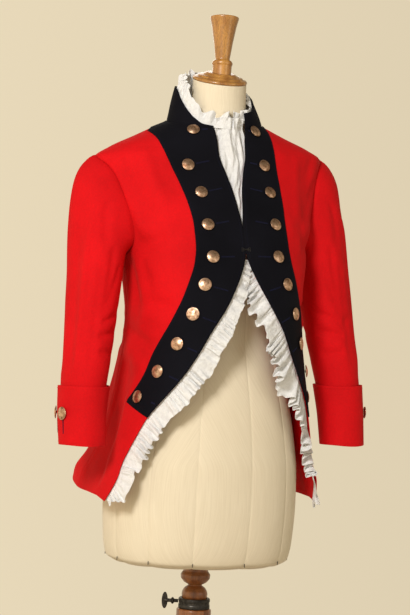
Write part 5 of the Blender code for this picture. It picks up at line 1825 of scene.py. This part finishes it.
@dataclass(frozen=True)
class DressForm:
    """Limbless dress form, covered in linen cut in panels."""

    figure: Figure
    finishes: Finishes
    sections: Table = (
        (0.5790, 0.156, 0.120, 0.120, 0.000, 2.2), (0.5890, 0.171, 0.136, 0.136, 0.000, 2.2),
        (0.6300, 0.178, 0.144, 0.144, 0.000, 2.2), (0.6900, 0.181, 0.147, 0.147, 0.000, 2.2),
        (0.7550, 0.179, 0.147, 0.148, 0.000, 2.2), (0.8000, 0.173, 0.143, 0.136, 0.000, 2.2),
        (0.8560, 0.163, 0.135, 0.122, 0.000, 2.2), (0.9300, 0.145, 0.120, 0.104, 0.000, 2.2),
        (1.0000, 0.130, 0.108, 0.094, 0.000, 2.2), (1.0500, 0.131, 0.110, 0.094, 0.000, 2.2),
        (1.1000, 0.140, 0.114, 0.100, 0.000, 2.2), (1.1500, 0.148, 0.108, 0.106, 0.000, 2.2),
        (1.2000, 0.155, 0.090, 0.108, 0.004, 2.1), (1.2500, 0.165, 0.068, 0.106, 0.010, 2.0),
        (1.2950, 0.175, 0.050, 0.100, 0.020, 2.0), (1.3250, 0.180, 0.038, 0.092, 0.030, 2.0),
    )
    # height, clearance to the cloth
    shoulders: Table = ((1.346, 0.006), (1.360, 0.004), (1.374, 0.0015), (1.386, 0.0004))
    front_clearance: float = 0.012
    back_clearance: float = 0.004
    cloth: float = 0.0020
    neck: Table = ((1.400, 0.0525), (1.420, 0.0510), (1.440, 0.0503))
    neck_y: float = 0.0075
    neck_top: float = 1.4680
    neck_radius: float = 0.0500
    neck_slope: float = math.tan(math.radians(16.5))
    neck_lean: float = 0.055
    seams: int = 12
    first_seam: float = -20.7
    groove: float = 0.0007
    groove_degrees: float = 0.45
    bulge: float = 0.0012
    marks_height: float = 0.5885

    def turns(self) -> np.ndarray:
        """Angles of the columns, closer together at the seams, the last one at the first."""
        seams = self.first_seam + 360.0 / self.seams * np.arange(self.seams)
        close = (seams[:, None] + np.array([-1.2, -0.45, 0.0, 0.45, 1.2])).reshape(-1)
        step = 360.0 / self.seams
        even = (seams[:, None] + np.linspace(3.5, step - 3.5, 9)).reshape(-1)
        angles = np.sort(np.concatenate((close, even)))
        return np.radians(np.append(angles, angles[0] + 360.0))

    def rings(self, turns: np.ndarray) -> np.ndarray:
        """Rings of the form, from its foot to the sloping top of its neck."""
        heights = np.concatenate((np.linspace(0.579, 0.60, 8), np.linspace(0.61, 1.325, 80)))
        body = [self.figure.ring(self.sections, turns, np.full(len(turns), height)) for height in heights]
        half_turn = np.abs((turns + math.pi) % (2 * math.pi) - math.pi)
        upper = [body[-1]]
        for height, clearance in self.shoulders:
            front = self.front_clearance * np.clip(np.cos(half_turn), 0, 1) ** 0.8
            back = self.back_clearance * np.clip(-np.cos(half_turn), 0, 1) ** 0.8
            inset = self.cloth + clearance + front + back
            level = np.full(len(turns), height)
            ring = self.figure.points(half_turn, level)
            ring = ring - inset[:, None] * self.figure.normals(half_turn, level)
            ring[:, 0] *= np.sign(np.sin(turns))
            upper.append(self.figure.lean(ring))
        for height, radius in self.neck:
            level = np.full(len(turns), height)
            upper.append(np.stack((radius * np.sin(turns), self.neck_y - radius * np.cos(turns), level), -1))
        x, y = self.neck_radius * np.sin(turns), -self.neck_radius * np.cos(turns)
        top = self.neck_top + x * self.neck_lean + y * self.neck_slope
        upper.append(np.stack((x, self.neck_y + y, top), -1))
        filled = loft(np.array(upper), 5)
        return np.concatenate((np.array(body[:-1]), filled))

    def make(self) -> None:
        """Make the form with its sewn seams and the pins at its rim."""
        turns = self.turns()
        grid = self.rings(turns)
        spread = (np.degrees(turns) - self.first_seam) % (360.0 / self.seams)
        away = np.minimum(spread, 360.0 / self.seams - spread)
        lift = -self.groove * np.exp(-((away / self.groove_degrees) ** 2))
        lift = lift + self.bulge * (1 - np.exp(-((away / 6.0) ** 2))) - self.bulge
        fade = ease((1.30 - grid[..., 2]) / 0.05)
        grid = grid + (lift * fade)[..., None] * grid_normals(grid, closed=True)
        foot, head = grid[0], grid[-1]
        low = [foot.mean(axis=0) + (foot - foot.mean(axis=0)) * k for k in (0.0, 0.3, 0.6, 0.85, 0.97)]
        high = [head.mean(axis=0) + (head - head.mean(axis=0)) * k for k in (0.9, 0.5, 0.0)]
        thing = Bench.sheet("dress_form_linen", np.concatenate((low, grid, high)), closed=True)
        dress(thing, self.finishes.linen, ["dress_form"], 60.0)
        self.make_pins()

    def make_pins(self) -> None:
        """A small pin at each seam's foot."""
        seams = np.radians(self.first_seam + 360.0 / self.seams * np.arange(self.seams))
        places = []
        for turn in seams:
            point = self.figure.ring(self.sections, turn, self.marks_height)
            beside = self.figure.ring(self.sections, turn + 0.01, self.marks_height)
            normal = np.cross(beside - point, np.array([0.0, 0.0, 1.0]))
            facing = Vector(normal).to_track_quat("Z", "Y").to_matrix().to_4x4()
            places.append(Matrix.Translation(Vector(point)) @ facing)
        Bench.clear()
        bpy.ops.mesh.primitive_cylinder_add(
            vertices=10, radius=0.0007, depth=0.0060, rotation=(math.pi / 2, 0, 0))
        pin = bpy.context.object
        pin.data.transform(pin.matrix_world)
        pin.matrix_world = Matrix.Identity(4)
        thing = Bench.repeat(pin, places, "rim_pins")
        dress(thing, self.finishes.iron)


@dataclass(frozen=True)
class Stand:
    """Turned neck cap and finial, the pole with its clamp, the column and the base."""

    form: DressForm
    finishes: Finishes
    cap: Table = (
        (0.0, 0.0003), (0.0500, 0.0003), (0.0512, 0.0018), (0.0510, 0.0042), (0.0490, 0.0064),
        (0.0432, 0.0076), (0.0418, 0.0098), (0.0402, 0.0106), (0.0340, 0.0118), (0.0306, 0.0136),
        (0.0276, 0.0150), (0.0266, 0.0160), (0.0, 0.0160),
    )
    finial: Table = (
        (0.0, 1.4700), (0.0170, 1.4700), (0.0176, 1.4880), (0.0178, 1.4960), (0.0192, 1.4985),
        (0.0192, 1.5020), (0.0172, 1.5050), (0.0138, 1.5068), (0.0134, 1.5090), (0.0140, 1.5130),
        (0.0178, 1.5400), (0.0232, 1.5700), (0.0270, 1.5846), (0.0266, 1.5866), (0.0250, 1.5875),
        (0.0, 1.5875),
    )
    pole: Table = (
        (0.0, 0.5787), (0.0230, 0.5787), (0.0230, 0.5600), (0.0246, 0.5580), (0.0275, 0.5535),
        (0.0268, 0.5465), (0.0205, 0.5390), (0.0130, 0.5352), (0.0126, 0.5335), (0.0190, 0.5290),
        (0.0228, 0.5232), (0.0240, 0.5180), (0.0236, 0.5130), (0.0222, 0.5095), (0.0222, 0.4913),
        (0.0, 0.4913),
    )
    column: Table = (
        (0.0, 0.4910), (0.0300, 0.4910), (0.0320, 0.4890), (0.0320, 0.3400), (0.0290, 0.3360),
        (0.0260, 0.3300), (0.0290, 0.3250), (0.0340, 0.3180), (0.0340, 0.3100), (0.0290, 0.3040),
        (0.0240, 0.2980), (0.0246, 0.2200), (0.0240, 0.1300), (0.0280, 0.1220), (0.0330, 0.1100),
        (0.0390, 0.0800), (0.0400, 0.0700), (0.0400, 0.0343), (0.0, 0.0343),
    )
    base: Table = (
        (0.0, 0.0340), (0.0600, 0.0340), (0.0720, 0.0310), (0.1400, 0.0278), (0.2080, 0.0240),
        (0.2180, 0.0222), (0.2240, 0.0180), (0.2290, 0.0130), (0.2300, 0.0090), (0.2290, 0.0020),
        (0.2260, 0.0), (0.0, 0.0),
    )
    ring: Table = (
        (0.0241, 0.4913), (0.0282, 0.4913), (0.0292, 0.4930), (0.0290, 0.4975), (0.0284, 0.4990),
        (0.0284, 0.5030), (0.0292, 0.5045), (0.0292, 0.5080), (0.0280, 0.5100), (0.0241, 0.5100),
    )
    # thumbscrew along its own axis: radius, distance from the ring
    screw: Table = (
        (0.0, 0.0), (0.0032, 0.0), (0.0032, 0.0070), (0.0042, 0.0082), (0.0062, 0.0092), (0.0062, 0.0118),
        (0.0040, 0.0130), (0.0032, 0.0150), (0.0036, 0.0200), (0.0032, 0.0260), (0.0, 0.0260),
    )
    screw_direction: tuple[float, float, float] = (-0.906, 0.423, 0.0)
    screw_height: float = 0.5030
    ring_outer: float = 0.0292
    wing_length: float = 0.038
    wing_depth: float = 0.014
    wing_thickness: float = 0.0045
    screw_reach: float = 0.018

    def turn(self, name: str, profile: Table, material: bpy.types.Material, slot: Slot,
             radius: float, hollow: bool = False) -> None:
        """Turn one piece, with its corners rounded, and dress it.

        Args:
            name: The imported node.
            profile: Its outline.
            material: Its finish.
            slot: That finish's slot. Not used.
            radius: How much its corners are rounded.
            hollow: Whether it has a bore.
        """
        line = Bench.rounded(profile, radius, 3)
        thing = Bench.spin(name + "_turned", line, 72, hollow)
        dress(thing, material, [name], 34.0)

    def neck_seat(self) -> tuple[Vector, Vector]:
        """Middle and normal of the neck's sloping top."""
        normal = Vector((-self.form.neck_lean, -self.form.neck_slope, 1.0)).normalized()
        return Vector((0.0, self.form.neck_y, self.form.neck_top)), normal

    def make_cap(self) -> None:
        """Neck cap, tipped with the neck, and the finial cut to stand on it."""
        seat, normal = self.neck_seat()
        tilt = normal.to_track_quat("Z", "Y").to_matrix().to_4x4()
        thing = Bench.spin("neck_cap_turned", Bench.rounded(self.cap, 0.0012, 3), 80)
        Bench.move(thing, Matrix.Translation(seat) @ tilt)
        dress(thing, self.finishes.honey, ["neck_cap"], 34.0)
        thing = Bench.spin("finial_turned", Bench.rounded(self.finial, 0.0015, 3), 72)
        Bench.pick(thing)
        bpy.ops.object.mode_set(mode="EDIT")
        bpy.ops.mesh.select_all(action="SELECT")
        bpy.ops.mesh.bisect(plane_co=seat + normal * 0.0163, plane_no=normal, use_fill=True, clear_inner=True)
        bpy.ops.object.mode_set(mode="OBJECT")
        dress(thing, self.finishes.honey, ["finial"], 34.0)

    def make_screw(self) -> None:
        """Thumbscrew of the clamp, with its dished oval wing."""
        along = Vector(self.screw_direction).normalized()
        start = Vector((0.0, 0.0, self.screw_height)) + along * (self.ring_outer + 0.0003)
        turn = along.to_track_quat("Z", "Y").to_matrix().to_4x4()
        shank = Bench.spin("shank", Bench.rounded(self.screw, 0.0010, 3), 32)
        Bench.move(shank, Matrix.Translation(start) @ turn)
        Bench.clear()
        bpy.ops.mesh.primitive_cylinder_add(vertices=40, radius=0.5, depth=1.0)
        wing = bpy.context.object
        bpy.ops.object.mode_set(mode="EDIT")
        bpy.ops.mesh.select_all(action="DESELECT")
        bpy.ops.object.mode_set(mode="OBJECT")
        for face in wing.data.polygons:
            face.select = abs(face.normal.z) > 0.9
        bpy.ops.object.mode_set(mode="EDIT")
        bpy.ops.mesh.inset(thickness=0.12)
        bpy.ops.mesh.inset(thickness=0.06, depth=-0.10)
        bpy.ops.object.mode_set(mode="OBJECT")
        wing.data.transform(Matrix.Diagonal((self.wing_depth, self.wing_length, self.wing_thickness, 1.0)))
        axes = Matrix((along, Vector((0, 0, 1)), along.cross(Vector((0, 0, 1))))).transposed().to_4x4()
        middle = start + along * (self.screw_reach + self.wing_depth / 2)
        wing.data.transform(Matrix.Translation(middle) @ axes)
        Bench.apply(wing, "BEVEL", width=0.0008, segments=2, limit_method="ANGLE",
                    angle_limit=math.radians(50))
        thing = Bench.join([shank, wing], "thumbscrew_iron")
        dress(thing, self.finishes.iron, ["thumbscrew"], 40.0)

    def make(self) -> None:
        """Make the stand's pieces."""
        brown, iron = self.finishes.brown, self.finishes.iron
        self.make_cap()
        self.turn("pole", self.pole, brown, Slot.BROWN, 0.0016)
        self.turn("column", self.column, brown, Slot.BROWN, 0.0022)
        self.turn("base", self.base, brown, Slot.BROWN, 0.0030)
        self.turn("clamp_ring", self.ring, iron, Slot.IRON, 0.0006, hollow=True)
        self.make_screw()


@dataclass(frozen=True)
class Studio:
    """Pale floor, soft lights and the camera at the photograph's angle."""

    turn: float = -25.0
    distance: float = 3.04
    eye: float = 0.9955
    focal_pixels: float = 1641.0
    frame_height: float = 615.0
    sensor: float = 36.0
    roll: float = 3.0
    shift_up: float = 27.5
    shift_side: float = 4.5
    floor_radius: float = 2.3
    wall: Colour = (0.77, 0.66, 0.465)
    # strength of the surround on the left and right, and overhead
    sides: tuple[float, float] = (1.34, 0.66)
    overhead: float = 0.20
    # name, turn from the front in degrees, distance, height, size, watts, colour
    lights: tuple[tuple[str, float, float, float, float, float, Colour], ...] = (
        ("key", -44.0, 3.4, 2.6, 0.9, 98.0, (1.0, 0.965, 0.92)),
        ("fill", 30.0, 4.0, 1.6, 2.4, 13.0, (1.0, 0.97, 0.94)),
        ("back", 168.0, 3.2, 2.6, 2.0, 22.0, (1.0, 0.96, 0.92)),
    )
    aim_height: float = 1.05

    def make_camera(self) -> None:
        """Camera, a little below the jacket's middle and rolled as the photograph is."""
        a = math.radians(self.turn)
        ahead = Vector((-math.sin(a), math.cos(a), 0.0))
        right = ahead.cross(Vector((0, 0, 1)))
        yaw = math.atan(self.shift_side / self.focal_pixels)
        pitch = math.atan(self.shift_up / self.focal_pixels)
        turned = ahead * math.cos(yaw) - right * math.sin(yaw)
        right = right * math.cos(yaw) + ahead * math.sin(yaw)
        ahead = turned * math.cos(pitch) + Vector((0, 0, 1)) * math.sin(pitch)
        up = right.cross(ahead)
        r = math.radians(self.roll)
        x, y = right * math.cos(r) + up * math.sin(r), up * math.cos(r) - right * math.sin(r)
        data = bpy.data.cameras.new("camera")
        data.sensor_fit = "VERTICAL"
        data.sensor_height = self.sensor
        data.lens = self.focal_pixels * self.sensor / self.frame_height
        camera = bpy.data.objects.new("camera", data)
        place = Matrix((x, y, -ahead)).transposed().to_4x4()
        place.translation = Vector((self.distance * math.sin(a), -self.distance * math.cos(a), self.eye))
        camera.matrix_world = place
        bpy.context.scene.collection.objects.link(camera)
        bpy.context.scene.camera = camera

    def make_lights(self) -> None:
        """Soft area lights and a warm pale surround."""
        for name, turn, distance, height, size, power, colour in self.lights:
            data = bpy.data.lights.new(name, "AREA")
            data.shape = "DISK"
            data.size = size
            data.energy = power
            data.color = colour
            lamp = bpy.data.objects.new(name, data)
            a = math.radians(turn)
            spot = Vector((distance * math.sin(a), -distance * math.cos(a), height))
            lamp.location = spot
            lamp.rotation_euler = (spot - Vector((0, 0, self.aim_height))).to_track_quat("Z", "Y").to_euler()
            bpy.context.scene.collection.objects.link(lamp)

    def make_surround(self) -> None:
        """Warm pale surround, brighter on the left and at the height of the eye."""
        world = bpy.context.scene.world or bpy.data.worlds.new("studio")
        bpy.context.scene.world = world
        world.use_nodes = True
        tree = world.node_tree
        surround = tree.nodes["Background"]
        surround.inputs["Color"].default_value = (*self.wall, 1.0)
        way = tree.nodes.new("ShaderNodeTexCoord").outputs["Generated"]
        across = tree.nodes.new("ShaderNodeVectorMath")
        across.operation = "DOT_PRODUCT"
        a = math.radians(self.turn)
        across.inputs[1].default_value = (math.cos(a), math.sin(a), 0.0)
        split = tree.nodes.new("ShaderNodeSeparateXYZ")
        steep = tree.nodes.new("ShaderNodeMath")
        steep.operation = "ABSOLUTE"
        by_side, by_height = (tree.nodes.new("ShaderNodeMapRange") for _ in range(2))
        for socket, value in zip(by_side.inputs[1:5], (-1.0, 1.0, *self.sides)):
            socket.default_value = value
        for socket, value in zip(by_height.inputs[1:5], (0.25, 0.65, 1.0, self.overhead)):
            socket.default_value = value
        product = tree.nodes.new("ShaderNodeMath")
        product.operation = "MULTIPLY"
        tree.links.new(way, across.inputs[0])
        tree.links.new(way, split.inputs[0])
        tree.links.new(split.outputs["Z"], steep.inputs[0])
        tree.links.new(across.outputs["Value"], by_side.inputs[0])
        tree.links.new(steep.outputs[0], by_height.inputs[0])
        tree.links.new(by_side.outputs[0], product.inputs[0])
        tree.links.new(by_height.outputs[0], product.inputs[1])
        tree.links.new(product.outputs[0], surround.inputs["Strength"])

    def make_floor(self) -> None:
        """Round pale floor under the stand."""
        Bench.clear()
        bpy.ops.mesh.primitive_circle_add(vertices=128, radius=self.floor_radius, fill_type="NGON")
        floor = Bench.name(bpy.context.object, "floor")
        floor.data.materials.append(Plaster().make())

    def make(self) -> None:
        """Make the studio."""
        self.make_camera()
        self.make_lights()
        self.make_surround()
        self.make_floor()
        bpy.context.scene.view_settings.view_transform = "Standard"


def main() -> None:
    """Build the studio and every sub-assembly, in order."""
    logging.basicConfig(level=logging.INFO, format="%(name)s %(message)s")
    Studio().make()
    finishes = Finishes()
    cutting = Cutting()
    collar = Collar(cutting, finishes)
    Body(cutting, finishes).make()
    collar.make()
    Sleeves(cutting, finishes).make()
    Frills(cutting, finishes).make(collar)
    Fastenings(cutting, finishes).make(collar)
    form = DressForm(cutting.figure, finishes)
    form.make()
    Stand(form, finishes).make()


if __name__ == "__main__":
    main()
